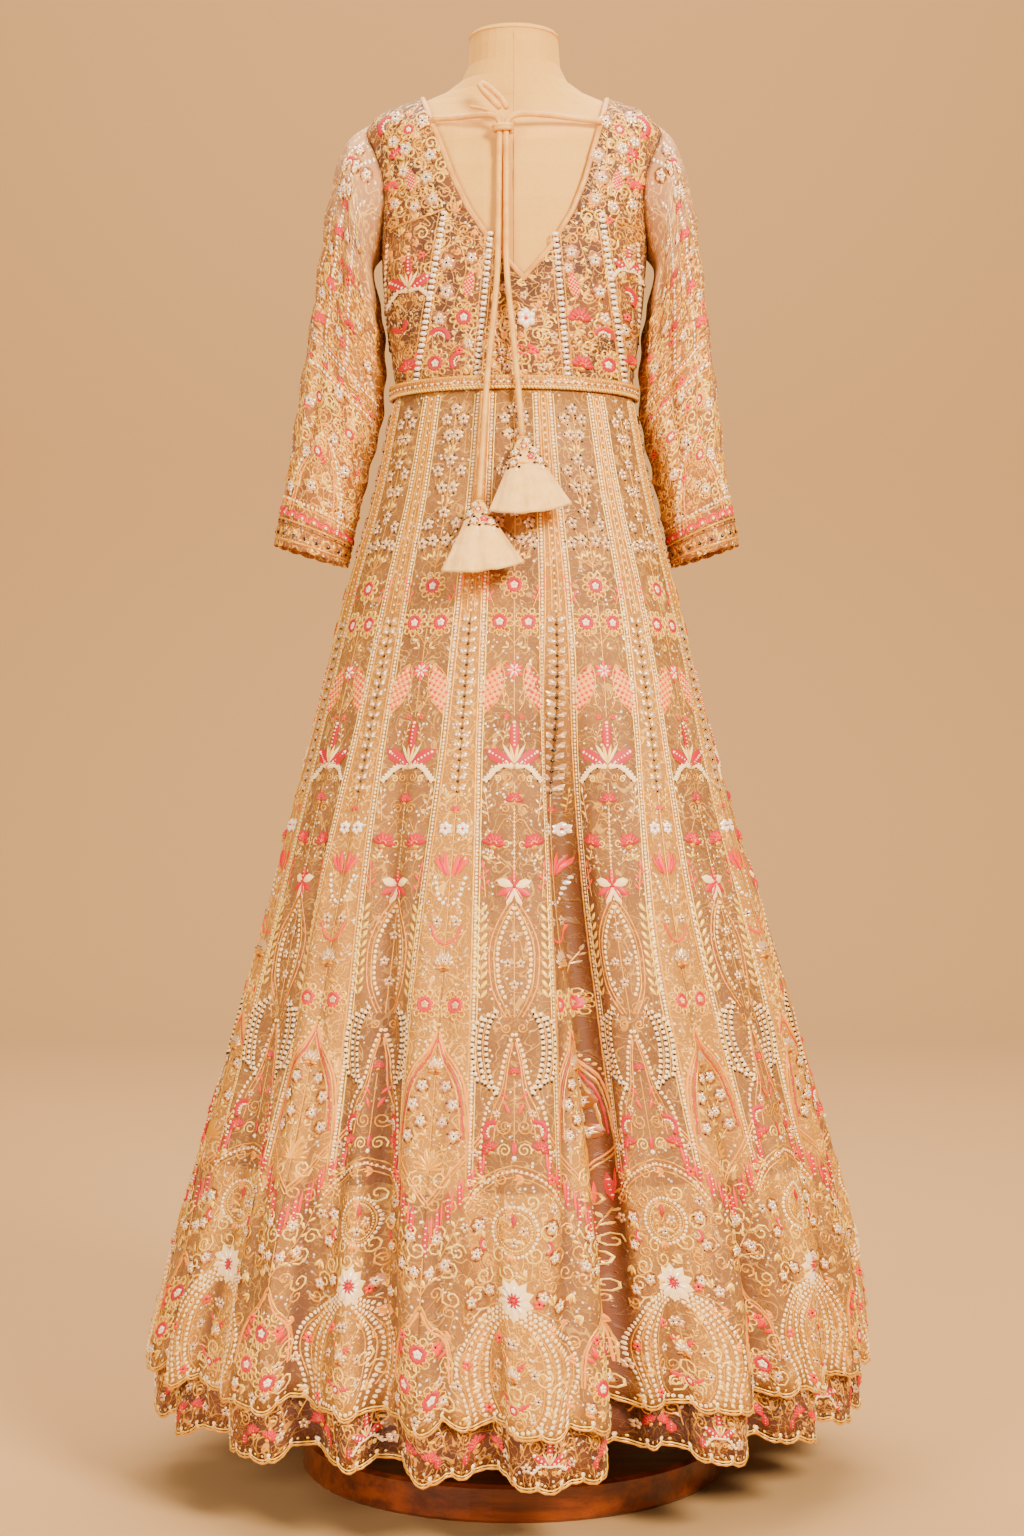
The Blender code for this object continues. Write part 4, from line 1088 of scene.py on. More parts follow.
def shell_faces(rows, columns):
    """Quads of a closed wall between two grids: the outer one's points come first, then the inner one's."""
    number = np.arange(rows * columns).reshape(rows, columns)
    back = rows * columns
    a, b, d, e = number[:-1, :-1], number[:-1, 1:], number[1:, 1:], number[1:, :-1]
    outer = np.stack([e, d, b, a], axis=-1).reshape(-1, 4)
    rim = np.concatenate([number[0, :], number[1:, -1], number[-1, -2::-1], number[-2:0:-1, 0]])
    after = np.roll(rim, -1)
    return np.concatenate(
        [outer, back + outer[:, ::-1], np.stack([rim, after, back + after, back + rim], axis=1)]
    )


def hang(name, outer, inner, finish, node, layouts):
    """A cloth panel between two grids of points. Layouts are (u, v) grids for its finish."""
    rows, columns, _ = outer.shape
    points = np.concatenate([outer.reshape(-1, 3), inner.reshape(-1, 3)])
    faces = shell_faces(rows, columns)
    corner = outer[rows // 2, columns // 2]
    first = points[faces[(rows // 2) * (columns - 1) + columns // 2]]
    if np.dot(
        np.cross(first[1] - first[0], first[2] - first[1]), corner - inner[rows // 2, columns // 2],
    ) < 0:
        faces = faces[:, ::-1]
    flat = {
        key: np.tile(np.stack(values, axis=-1).reshape(-1, 2), (2, 1)) for key, values in layouts.items()
    }
    piece = make_piece(name, points, faces, materials=[finish], layouts=flat)
    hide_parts(node)
    return piece


def cut_of(grid):
    """The width, length and area that a panel was cut to, from its grid."""
    across = np.linalg.norm(np.diff(grid, axis=1), axis=2).sum(axis=1)
    down = np.linalg.norm(np.diff(grid, axis=0), axis=2).sum(axis=0)
    one, two = grid[1:, 1:] - grid[:-1, :-1], grid[1:, :-1] - grid[:-1, 1:]
    area = 0.5 * np.linalg.norm(np.cross(one, two), axis=2).sum()
    width, length = round(float(across.max()), 3), round(float(down.max()), 3)
    return (width, length), round(float(min(area, width * length)), 4)


def declare_sheet(grid):
    flat, area = cut_of(grid)


def tube(name, path, radius, materials, sides=10):
    """A round tube along a path, with a half-round cap at each end."""
    path = np.asarray(path, float)
    radius = np.broadcast_to(radius, len(path))
    along = np.gradient(path, axis=0)
    along /= np.linalg.norm(along, axis=1, keepdims=True)
    side = np.cross(along[0], (0.0, 0.31, 0.95))
    rings = []
    for spot, run, size in zip(path, along, radius):
        side = side - run * np.dot(side, run)
        side /= np.linalg.norm(side)
        other = np.cross(run, side)
        turn = 2 * np.pi * np.arange(sides) / sides
        rings.append(spot + size * (np.cos(turn)[:, None] * side + np.sin(turn)[:, None] * other))
    caps = [path[0] - along[0] * radius[0] * 0.5, path[-1] + along[-1] * radius[-1] * 0.5]
    points = np.concatenate(rings + [np.array(caps)])
    faces = []
    for r in range(len(path) - 1):
        for i in range(sides):
            j = (i + 1) % sides
            a, b = r * sides, (r + 1) * sides
            faces += [(a + i, a + j, b + j), (a + i, b + j, b + i)]
    last = (len(path) - 1) * sides
    for i in range(sides):
        j = (i + 1) % sides
        faces += [(j, i, len(points) - 2), (last + i, last + j, len(points) - 1)]
    return make_piece(name, points, np.array(faces), materials=materials)


# ---------------------------------------------------------------- charts: the skirt's panels

TREE_HALF = (
    (0.383, 0.05), (0.45, 0.047), (0.578, 0.043), (0.7, 0.041), (0.843, 0.039), (1.0, 0.034),
    (1.262, 0.0245),
)
LOW_HALF = (
    (0.1, 0.068), (0.16, 0.07), (0.2, 0.066), (0.235, 0.046), (0.262, 0.03), (0.3, 0.046), (0.345, 0.056),
    (0.383, 0.058),
)


def across_table(table, z):
    heights, halves = zip(*table)
    return np.interp(z, heights, halves)


def stitch_bouquets(work):
    """Three tiers of branching stems with silver flowers, from the waist down."""
    work.curve([(0.0, 1.045), (0.0015, 1.13), (0.0, 1.236)], 0.0013, "gold")
    tiers = (
        (1.236, ((0.0, 0.0), (0.0105, -0.012), (0.0055, -0.031))),
        (1.176, ((0.0, 0.0), (0.014, -0.013), (0.0065, -0.033))),
        (1.114, ((0.0, 0.0), (0.0175, -0.013), (0.008, -0.033), (0.0215, -0.036))),
    )
    for top, spots in tiers:
        for x, down in spots:
            head = top + down
            foot = head - 0.022
            if x:
                work.curves([(0.0, foot - 0.006), (x * 0.6, foot + 0.004), (x, head)], 0.0011, "gold")
                work.both(work.leaf_pair, (x * 0.55, foot + 0.003, 0.0085, 30, "pale_gold"))
            for side in (-1, 1) if x else (1,):
                work.sequin_flower(side * x, head, 0.0076, 20 * x * 1000)
                work.beads(circle(side * x, head, 0.0072, 3, 36 + 400 * x), 0.0015, "crystal", 1.4)


def stitch_ring_flowers(work):
    for x, z in ((0.0, 1.029), (-0.0164, 0.987), (0.0164, 0.987)):
        work.ring_flower(x, z, 0.0162)
    work.stem(1.012, 0.99, 0.955)
    work.curves([(0.0, 0.962), (0.008, 0.972), (0.0164, 0.976)], 0.0013, "gold")
    work.both(work.sprig, (0.022, 1.004, 0.03, 22, "pink", 5), (0.031, 0.946, 0.03, 8, "silver", 5))
    work.both(work.leaf_pair, (0.006, 0.958, 0.008, 60, "pale_gold"))


def stitch_leaves(work):
    """A star over two broad checked leaves."""
    work.petals([(0.0, 0.932, 0.005, 0.0125, t) for t in range(0, 360, 60)], "pink", 0.0016)
    work.petals([(0.0, 0.932, 0.003, 0.0085, t) for t in range(30, 390, 60)], "bright_silver", 0.0024)
    work.beads([(0.0, 0.932)], 0.0018, "red", 1.6)
    work.stem(0.96, 0.92, 0.88)
    work.both(work.checked_leaf, (0.015, 0.94, 0.06, 162))
    work.vines([(0.005, 0.886), (0.011, 0.896), (0.013, 0.914)], leaf=0.005)
    work.both(work.sprig, (0.033, 0.888, 0.03, 4, "silver", 5), (0.006, 0.9, 0.02, 26, "silver", 3))
    work.both(work.sequin_flower, (0.0085, 0.88, 0.0036, 0, "pink", "red"))


def stitch_lotus(work):
    work.lotus(0.0, 0.824, 0.031)
    work.carnation(0.0, 0.786, 0.0115)
    work.stem(0.806, 0.76, 0.7, 0.0014)
    work.pearl_line([(0.0, 0.777), (0.0, 0.745), (0.0, 0.712)], 0.0044, 0.0013)
    work.curves([(0.0, 0.762), (0.009, 0.768), (0.0165, 0.757), (0.0215, 0.748)], 0.0012, "gold")
    work.both(work.carnation, (0.0225, 0.739, 0.0145, -12))
    work.both(
        work.scroll, (0.0105, 0.778, 0.0058, 80, -1, "gold"), (0.0095, 0.74, 0.0048, 100, 1, "pale_gold"),
    )
    work.both(
        work.sprig,
        (0.0275, 0.764, 0.03, 8, "silver", 5),
        (0.0095, 0.716, 0.022, 50, "silver", 5),
        (0.031, 0.682, 0.03, 5, "pink", 5),
    )
    work.both(work.leaf_pair, (0.027, 0.722, 0.009, 20, "pale_gold"))


def stitch_curtain(work):
    """A butterfly flower with pearl lines and gold lines that part like curtains under it."""
    work.butterfly_flower(0.0, 0.694, 0.0215)
    ogee = [(0.013, 0.655), (0.0215, 0.628), (0.02, 0.592), (0.013, 0.572), (0.0035, 0.556)]
    for out, thread in ((0.0, "gold"), (0.005, "peach")):
        knots = [(0.001 + 0.4 * out, 0.676 + out)] + [(x + out, z) for x, z in ogee]
        work.curves(knots, 0.0016, thread, beaded=0.5)
    inner = [(0.001, 0.671), (0.01, 0.652), (0.0175, 0.626), (0.0165, 0.594), (0.01, 0.577)]
    work.pearl_lines(inner, 0.0058, 0.0022, "cream")
    for z in np.arange(0.575, 0.665, 0.01):
        work.petal_pair([(0.036, z, 0.0048, 0.012, turn) for turn in (36, -36)], "pale_gold")
    work.both(work.sequin_flower, (0.007, 0.612, 0.0056))
    for z in (0.64, 0.59):
        work.sequin_flower(0.0, z, 0.006)
    work.stem(0.668, 0.62, 0.556, 0.0012)


def stitch_bell(work):
    """Pearl lines that curve in and out like brackets round a bell."""
    for k, thread in enumerate(("cream", "pearl", "cream")):
        out = 0.0075 * k
        bracket = [
            (0.02 + out, 0.562 - 0.004 * k),
            (0.0275 + out, 0.545),
            (0.03 + out, 0.52),
            (0.0255 + out, 0.493),
            (0.019 + out, 0.478 + 0.006 * k),
        ]
        work.pearl_lines(bracket, 0.006, 0.0025, thread)
        for knots in mirrored([(x, z - 0.003) for x, z in bracket]):
            work.beads(smooth_path(knots, step=0.006), 0.0017, "crystal", 1.3)
        work.curves([(x + 0.0036, z) for x, z in bracket], 0.0012, "gold", beaded=0.6)
    sweep = [(0.002, 0.538), (0.01, 0.515), (0.0165, 0.485), (0.029, 0.462), (0.035, 0.436), (0.0375, 0.41)]
    work.pearl_lines(sweep, 0.0058, 0.0021, "cream")
    for k, thread in enumerate(("gold", "peach")):
        inner = [(x * (0.8 - 0.16 * k), z - 0.004 - 0.004 * k) for x, z in sweep[:5]]
        work.curves(inner, 0.0014, thread, beaded=0.5)
    work.both(work.scroll, (0.0085, 0.545, 0.0055, 90, 1, "gold"))
    work.both(work.sprig, (0.0125, 0.545, 0.018, 24, "silver", 5))
    work.carnation(0.0, 0.498, 0.008)
    work.stem(0.492, 0.455, 0.415)


def stitch_crescents(work):
    work.both(work.crescent, (0.0225, 0.437, 0.0105, 60))
    work.both(work.carnation, (0.0265, 0.418, 0.0115, 28, "red"))
    work.both(
        work.scroll,
        (0.0105, 0.443, 0.0092, 40, 1, "gold", 0.0016, 1.6),
        (0.0105, 0.419, 0.0078, 120, -1, "pale_gold", 0.0016, 1.5),
    )
    work.petal_pair([(0.0045, 0.455, 0.0044, 0.014, 24), (0.006, 0.47, 0.004, 0.012, 40)], "pink")
    work.both(work.sequin_flower, (0.043, 0.415, 0.0052), (0.0185, 0.456, 0.0046))
    swag = [(0.0, 0.404), (0.02, 0.3985), (0.04, 0.385), (0.055, 0.366)]
    for k, thread in enumerate(("gold", "peach", "gold")):
        work.curves([(x, z - 0.0058 * k) for x, z in swag], 0.0015, thread, beaded=0.5)
    work.pearl_lines([(0.002, 0.3985), (0.02, 0.393), (0.0395, 0.3795), (0.0545, 0.3605)], 0.0056, 0.0018)
    work.petals([(0.0, 0.412, 0.006, 0.018, 0.0)], "coral")
    work.beads([(0.0, 0.411)], 0.0028, "bright_silver", 1.4)


def stitch_medallion(work):
    middle = 0.338
    for radius, thread, size in ((0.0245, "pearl", 0.0019), (0.0185, "pale_gold", 0.0012)):
        work.beads(circle(0.0, middle, radius, int(2 * math.pi * radius / (2.35 * size))), size, thread)
    work.line(circle(0.0, middle, 0.0215, 41, share=41 / 40), 0.0014, "gold", beaded=0.4)
    work.petals([(0.0, middle + 0.003, 0.0062, 0.015, 0.0)], "red", 0.0026)
    work.petal_pair([(0.002, middle - 0.004, 0.0055, 0.013, 62)], "gold", 0.002)
    work.petal_pair([(0.002, middle - 0.007, 0.0045, 0.0115, 118)], "pale_gold", 0.002)
    work.sequin_flower(0.0, middle - 0.011, 0.0062)
    work.both(
        work.scroll, (0.0105, middle - 0.005, 0.0052, 20, 1),
        (0.03, 0.306, 0.008, 30, 1, "gold", 0.0016, 1.5),
    )
    work.both(work.cluster, (0.04, 0.342, 0.0075, 25), (0.043, 0.313, 0.0068, 60))
    work.both(work.sprig, (0.036, 0.357, 0.018, 20, "pale_gold", 5))
    work.both(work.crescent, (0.033, 0.323, 0.006, 100, "coral"))


def stitch_hem_drop(work):
    """A big white flower, and a drop of pearl lines spreading from it to the hem."""
    work.white_flower(0.0, 0.272, 0.0215)
    work.both(work.cluster, (0.03, 0.276, 0.007, 20), (0.049, 0.266, 0.0072, 70))
    work.both(
        work.scroll,
        (0.039, 0.287, 0.0085, 30, -1, "gold", 0.0016, 1.5),
        (0.012, 0.183, 0.0085, 50, 1, "gold", 0.0016, 1.5),
        (0.011, 0.165, 0.007, 130, -1, "pale_gold", 0.0016, 1.5),
    )
    work.vines([(0.024, 0.262), (0.04, 0.256), (0.06, 0.246)], leaf_thread="silver", leaf=0.007)
    for k in range(4):
        wide = 0.036 + 0.0107 * k
        knots = [
            (0.003 + 0.0045 * k, 0.2555 + 0.002 * k),
            (wide * 0.58, 0.242 + 0.002 * k),
            (wide * 0.93, 0.219),
            (wide, 0.193),
            (wide * (0.92 - 0.02 * k), 0.168),
            (wide * 0.8, 0.15) if k else (wide * 0.62, 0.151),
        ]
        if k == 0:
            knots.append((0.004, 0.1475))
        work.pearl_lines(knots, 0.0056, 0.0022, "pearl" if k % 2 else "cream")
        work.curves([(x - 0.0046, z) for x, z in knots[1:-1]], 0.0013, "gold", beaded=0.5)
    work.both(work.sequin_flower, (0.021, 0.202, 0.0058), (0.025, 0.178, 0.0054))
    work.petal_pair([(0.003, 0.168, 0.006, 0.016, 60), (0.002, 0.205, 0.005, 0.014, 46)], "coral")
    work.both(work.sprig, (0.0085, 0.212, 0.017, 26, "pale_gold", 5))
    work.pinecone(0.0, 0.196, 0.011)
    work.ring_flower(0.0, 0.168, 0.0088)
    work.sequin_flower(0.0, 0.23, 0.0064)
    work.stem(0.228, 0.2, 0.16)


def stitch_seam_strip(work):
    """What is centred on a seam: x is measured from the seam."""
    work.curves([(0.0022, 1.25), (0.003, 1.12), (0.0042, 1.0)], 0.0017, "gold", beaded=0.5)
    work.pearl_line([(0.0, 1.25), (0.0, 1.12), (0.0, 1.0)], 0.0085, 0.0016, "cream")
    for z in np.arange(0.8, 0.99, 0.0118):
        for side in (-1, 1):
            turn, long = side * rng.uniform(36, 62), rng.uniform(0.0085, 0.0115)
            work.petals([(side * 0.0014, z - 0.002, 0.0062, long, turn)], "silver", 0.0024)
            work.petals(
                [(side * 0.001, z + 0.001, 0.004, long * 0.7, turn + side * 52)], "bright_silver", 0.002,
            )
        work.beads([(0.0, z - 0.0035)], 0.0018, "crystal", 1.6)
    work.both(
        work.sequin_flower, (0.0095, 0.756, 0.0082, 0, "bright_silver", "red", 6), (0.0105, 0.656, 0.0064),
    )
    work.petal_pair([(0.002, 0.703, 0.0062, 0.03, 12), (0.006, 0.706, 0.0056, 0.024, 34)], "pink")
    work.petal_pair([(0.004, 0.704, 0.0048, 0.027, 23)], "coral", 0.0022)
    work.pearl_lines([(0.0, 0.6735), (0.01, 0.68), (0.0165, 0.703)], 0.006, 0.0021, "bright_silver")
    work.curves([(0.0, 0.632), (0.01, 0.637), (0.0165, 0.652)], 0.0026, "pink")
    work.both(work.sprig, (0.0105, 0.775, 0.02, 6, "pale_gold", 5), (0.0145, 0.6, 0.024, 20, "silver", 5))
    work.both(work.ring_flower, (0.0165, 0.568, 0.016, "coral", "silver"))
    work.stem(0.8, 0.73, 0.592)
    work.carnation(0.0, 0.776, 0.0062, 0.0, "coral")
    work.pinecone(0.0, 0.608, 0.015)
    stitch_ogee(work)
    stitch_fringe(work)
    stitch_seam_hem(work)


def stitch_ogee(work):
    """A pointed arch of beads over a tree of silver flowers."""
    for k, (thread, width) in enumerate(
        (("peach", 0.0024), ("gold", 0.0018), ("coral", 0.0018), ("gold", 0.0018))
    ):
        inner = 1.0 - 0.085 * k
        arch = [
            (0.001, 0.541 - 0.0042 * k),
            (0.0095 * inner, 0.52 - 0.0035 * k),
            (0.0215 * inner, 0.505 - 0.003 * k),
            (0.0325 * inner, 0.484 - 0.002 * k),
            (0.039 * inner, 0.455),
            (0.0425 * inner, 0.428),
        ]
        work.curves(arch, width, thread, beaded=0.45)
    outline = [(0.001, 0.548), (0.0105, 0.525), (0.0235, 0.5095), (0.036, 0.488), (0.043, 0.456)]
    work.pearl_lines(outline, 0.0062, 0.0018, "pale_gold")
    tree = (
        (0.0125, 0.484, 0.007), (0.0215, 0.464, 0.0076), (0.0115, 0.447, 0.0066), (0.025, 0.432, 0.0074),
    )
    for x, z, size in tree:
        work.both(work.cluster, (x, z, size, 40))
        work.curves([(0.0, z - 0.02), (x * 0.6, z - 0.012), (x, z)], 0.0011, "gold")
        work.both(work.leaf_pair, (x * 0.5, z - 0.014, 0.007, 40, "pale_gold"))
    work.petal_pair([(0.0, 0.398, 0.005, 0.024 - 0.003 * k, 12 + 24 * k) for k in range(4)], "gold")
    work.pinecone(0.0, 0.5, 0.0125)
    work.stem(0.498, 0.45, 0.392, 0.0014)


def stitch_fringe(work):
    """Long coral petals that hang in a deep V, with beads along them."""
    for side in (-1, 1):
        for k in range(0 if side > 0 else 1, 6):
            x, top, length = 0.0105 * k + 0.0015, 0.352 + 0.0125 * k, 0.04 - 0.0022 * k
            petal = (side * x, top, 0.006, length, 180.0 - side * 2 * k)
            work.beaded_petal(*petal, "coral" if k % 2 else "red", "pearl", 0.0056, 0.0017)
            work.petals([(side * (x + 0.005), top + 0.004, 0.0036, length * 0.8, 180.0)], "pink", 0.0014)
    work.curves([(0.0, 0.36), (0.02, 0.385), (0.042, 0.412), (0.06, 0.436)], 0.0018, "gold", beaded=0.5)
    work.curves([(0.0, 0.366), (0.02, 0.391), (0.042, 0.418), (0.056, 0.436)], 0.0018, "peach")
    work.both(
        work.cluster, (0.014, 0.33, 0.0072, 30), (0.023, 0.302, 0.0072, 60), (0.0075, 0.297, 0.0062, 0),
    )
    work.vines([(0.0, 0.276), (0.012, 0.298), (0.027, 0.325), (0.036, 0.35)], leaf=0.009)
    work.vines([(0.0, 0.283), (0.018, 0.292), (0.034, 0.292)], leaf_thread="silver", leaf=0.007)
    work.stem(0.312, 0.285, 0.262, 0.0014)


def stitch_seam_hem(work):
    for k, thread in enumerate(("gold", "peach")):
        arch = [
            (0.001, 0.266 - 0.006 * k),
            (0.01, 0.248 - 0.005 * k),
            (0.024, 0.233 - 0.004 * k),
            (0.0345 - 0.003 * k, 0.21),
            (0.0375 - 0.003 * k, 0.182),
        ]
        work.curves(arch, 0.0023, thread, beaded=0.5)
    work.petal_pair([(0.017, 0.213, 0.006, 0.014, 30), (0.0205, 0.209, 0.005, 0.012, 70)], "pink")
    work.petal_pair([(0.0185, 0.212, 0.0034, 0.012, 48)], "coral", 0.002)
    work.both(work.cluster, (0.029, 0.164, 0.007, 40))
    work.both(
        work.scroll, (0.029, 0.193, 0.0085, 20, 1, "gold", 0.0016, 1.5),
        (0.013, 0.237, 0.006, 80, -1, "pale_gold"),
    )
    work.ring_flower(0.0, 0.22, 0.0168)
    work.ring_flower(-0.0145, 0.185, 0.0165, "coral")
    work.ring_flower(0.0155, 0.173, 0.0165)
    work.sequin_flower(0.0, 0.156, 0.0064)


def panel_chart(half_panel):
    """A skirt panel's embroidery: its middle, its two border bands and the strip on one seam."""
    work = Stitching()
    tree = (stitch_bouquets, stitch_ring_flowers, stitch_leaves, stitch_lotus, stitch_curtain, stitch_bell)
    for part in tree + (stitch_crescents, stitch_medallion, stitch_hem_drop):
        part(work)
    work.filigree(-0.112, 0.112, 0.16, 0.395, 0.0225, lambda x, z: abs(x) < half_panel(z) - 0.006, 0.01)
    heights = np.arange(0.388, 1.256, 0.0042)
    for side in (-1, 1):
        border = np.stack([side * across_table(TREE_HALF, heights), heights], axis=1)
        work.beads(border, 0.0018, "pearl")
        work.line(border[::2] + (side * 0.0036, 0.0), 0.0022, "gold", beaded=0.5)
        work.line(border[::2] - (side * 0.0036, 0.0), 0.0014, "pale_gold", beaded=0.5)
    strip = Stitching()
    stitch_seam_strip(strip)
    for points in strip.points:
        points[:, 0] += half_panel(points[:, 1])
    work.take(strip)
    return work


def hem_chart(half, height, lobe, depth):
    """A scalloped cord along a hem, with a pearl where two scallops meet."""
    work = Stitching()
    count = max(1, int(round(2 * half / lobe)))
    turn = np.linspace(0.0, np.pi, 9)
    reach = half / count
    for k in range(count):
        middle = -half + (k + 0.5) * 2 * half / count
        arc = np.stack([middle - reach * np.cos(turn), height - depth * np.sin(turn) ** 0.7], axis=1)
        work.line(arc, 0.0026, "gold", 0.0012, beaded=0.5)
        work.line(arc + (0.0, 0.0032), 0.0016, "pale_gold", beaded=0.5)
        work.beads(arc[1:-1:2] + (0.0, 0.0075), 0.0014, "pale_gold")
        work.beads([(middle - reach, height + 0.004)], 0.0024, "bright_silver")
    return work


def under_chart(half):
    """The under-skirt's border: vines, carnations, a lotus and berries over a scalloped cord."""
    work = Stitching()
    count = 6
    for k in range(count):
        x = -half + (k + 0.5) * 2 * half / count
        hand = 1 if k % 2 else -1
        work.vine(
            [(x - 0.03, 0.118), (x - 0.014, 0.15), (x + 0.006, 0.142), (x + 0.016, 0.116)], leaf=0.008,
        )
        work.vine(
            [(x + 0.03, 0.11), (x + 0.022, 0.14), (x + 0.004, 0.158)], leaf_thread="silver", leaf=0.007,
        )
        work.scroll(x - hand * 0.014, 0.13, 0.0095, 30.0, hand, coils=1.6)
        work.scroll(x + hand * 0.022, 0.126, 0.0085, -40.0, -hand, coils=1.6)
        if k % 3 == 0:
            work.lotus(x, 0.112, 0.017)
            work.sequin_flower(x + 0.024, 0.106, 0.0058)
        else:
            work.carnation(x - 0.009, 0.114, 0.0115, -28.0)
            work.carnation(x + 0.011, 0.112, 0.011, 30.0, "coral")
            work.sequin_flower(x, 0.138, 0.0062)
        work.beaded_petal(x + hand * 0.021, 0.112, 0.009, 0.0135, 180.0, "red", "cream", 0.003, 0.0009)
        work.sequin_flower(x - hand * 0.024, 0.108, 0.006)
        work.cluster(x - hand * 0.02, 0.156, 0.0062)
        work.ring_flower(x + hand * 0.012, 0.166, 0.0105, "coral", "silver")
    return work


# ---------------------------------------------------------------- charts: bodice and sleeves


def under_neckline(x, z):
    """Whether a point of the back lies on the cloth, clear of the neckline and the armholes."""
    half = float(np.interp(z, *zip(*NECKLINE))) + 0.007 if z > 1.382 else 0.0
    widest = np.interp(z, (1.27, 1.42, 1.46, 1.58), (0.137, 0.15, 0.146, 0.156))
    return abs(x - CENTRE_SHIFT) > half and abs(x - 0.002) < widest


def stitch_back(work):
    """The bodice's back, as x and z in the front view: rows of beads with motifs between them."""
    rows = (
        ((-0.0815, 1.462), (-0.116, 1.27)),
        ((-0.0276, 1.436), (-0.0437, 1.272)),
        ((0.048, 1.436), (0.0632, 1.272)),
        ((0.102, 1.462), (0.1316, 1.272)),
    )
    for top, bottom in rows:
        path = smooth_path([top, bottom], step=0.0066)
        turn = math.degrees(math.atan2(top[0] - bottom[0], top[1] - bottom[1]))
        work.repeat(ROUND_BEAD, [(x, z, 0.0044, 0.0027, turn, 0.003) for x, z in path], "bright_silver")
        work.beads(path[:-1] + np.diff(path, axis=0) / 2, 0.0016, "crystal", 1.2)
        for side in (-1, 1):
            work.line(beside(path, side * 0.0056), 0.0015, "gold", beaded=0.5)
    motifs = (
        (work.leaf_pair, (-0.13, 1.331, 0.018, -20, "red")),
        (
            work.cluster,
            (-0.0782, 1.4046, 0.0092, 0),
            (-0.0494, 1.409, 0.0078, 40),
            (-0.0874, 1.342, 0.0082, 0),
            (-0.0793, 1.372, 0.0092, 30),
            (-0.053, 1.312, 0.007, 70),
            (0.0667, 1.416, 0.008, 0),
            (0.0631, 1.398, 0.0072, 40),
            (0.0943, 1.409, 0.0086, 0),
            (0.1, 1.374, 0.0084, 0),
            (0.1057, 1.345, 0.008, 30),
            (0.13, 1.335, 0.0082, 0),
        ),
        (
            work.crescent,
            (-0.088, 1.32, 0.011, 20),
            (-0.064, 1.2925, 0.0095, -60),
            (0.1049, 1.322, 0.011, 10),
            (0.1322, 1.372, 0.01, 60),
        ),
        (
            work.carnation,
            (-0.123, 1.29, 0.015, 0),
            (0.0759, 1.34, 0.0165, 0),
            (0.0793, 1.288, 0.0155, 10),
            (0.14, 1.3, 0.012, 0),
        ),
        (work.ring_flower, (-0.0586, 1.3425, 0.0165), (-0.092, 1.293, 0.0165), (0.1103, 1.293, 0.0165)),
        (work.checked_leaf, (-0.056, 1.364, 0.032, 12), (0.0733, 1.364, 0.032, -14)),
        (work.lotus, (-0.123, 1.378, 0.026), (0.134, 1.402, 0.018)),
        (
            work.sequin_flower,
            (0.0138, 1.34, 0.0125, 0, "bright_silver", "coral", 6),
            (0.0402, 1.3046, 0.0064, 0),
            (0.0333, 1.285, 0.0062, 20),
            (-0.0138, 1.3035, 0.0064, 0),
            (-0.008, 1.285, 0.0062, 20),
            (0.0115, 1.366, 0.0058, 20),
            (0.0355, 1.375, 0.0054, 20),
            (-0.0115, 1.375, 0.0054, 20),
        ),
    )
    taken = np.array([values[:3] for _, *rows in motifs for values in rows])
    for motif, *rows in motifs:
        for values in rows:
            motif(*values)

    def free(x, z):
        return under_neckline(x, z) and np.all(
            np.hypot(taken[:, 0] - x, taken[:, 1] - z) > taken[:, 2] + 0.003
        )

    work.filigree(-0.15, 0.155, 1.278, 1.59, 0.015, free)
    x = 0.012
    for side in (-1, 1):
        work.scroll(x + side * 0.017, 1.344, 0.01, side * 20, side, coils=1.6)
        work.scroll(x + side * 0.0145, 1.322, 0.008, side * 150, -side, "pale_gold", coils=1.5)
        work.curve([(x, 1.306), (x + side * 0.0085, 1.31), (x + side * 0.016, 1.302)], 0.0034, "coral")
        work.curve([(x, 1.299), (x + side * 0.0095, 1.303), (x + side * 0.018, 1.294)], 0.0028, "pink")
        stem = ((0.0, 1.275), (0.012, 1.29), (0.024, 1.318), (0.022, 1.352))
        work.vine([(x + side * out, z) for out, z in stem], leaf=0.007)
        for start, end in (((0.07, 1.43), (0.066, 1.278)), ((0.098, 1.438), (0.108, 1.278))):
            a, b = start[0] * side + 0.5 * x, end[0] * side + 0.5 * x
            sway = [(a, start[1]), (a + 0.008, 1.395), (a - 0.006, 1.355), (b + 0.007, 1.315), (b, end[1])]
            work.vine(sway, leaf=0.009, gap=0.012)
        edge = ((0.147, 1.436), (0.15, 1.39), (0.1495, 1.345))
        work.pearl_line([(side * out - 0.002, z) for out, z in edge], 0.0062, 0.0024)


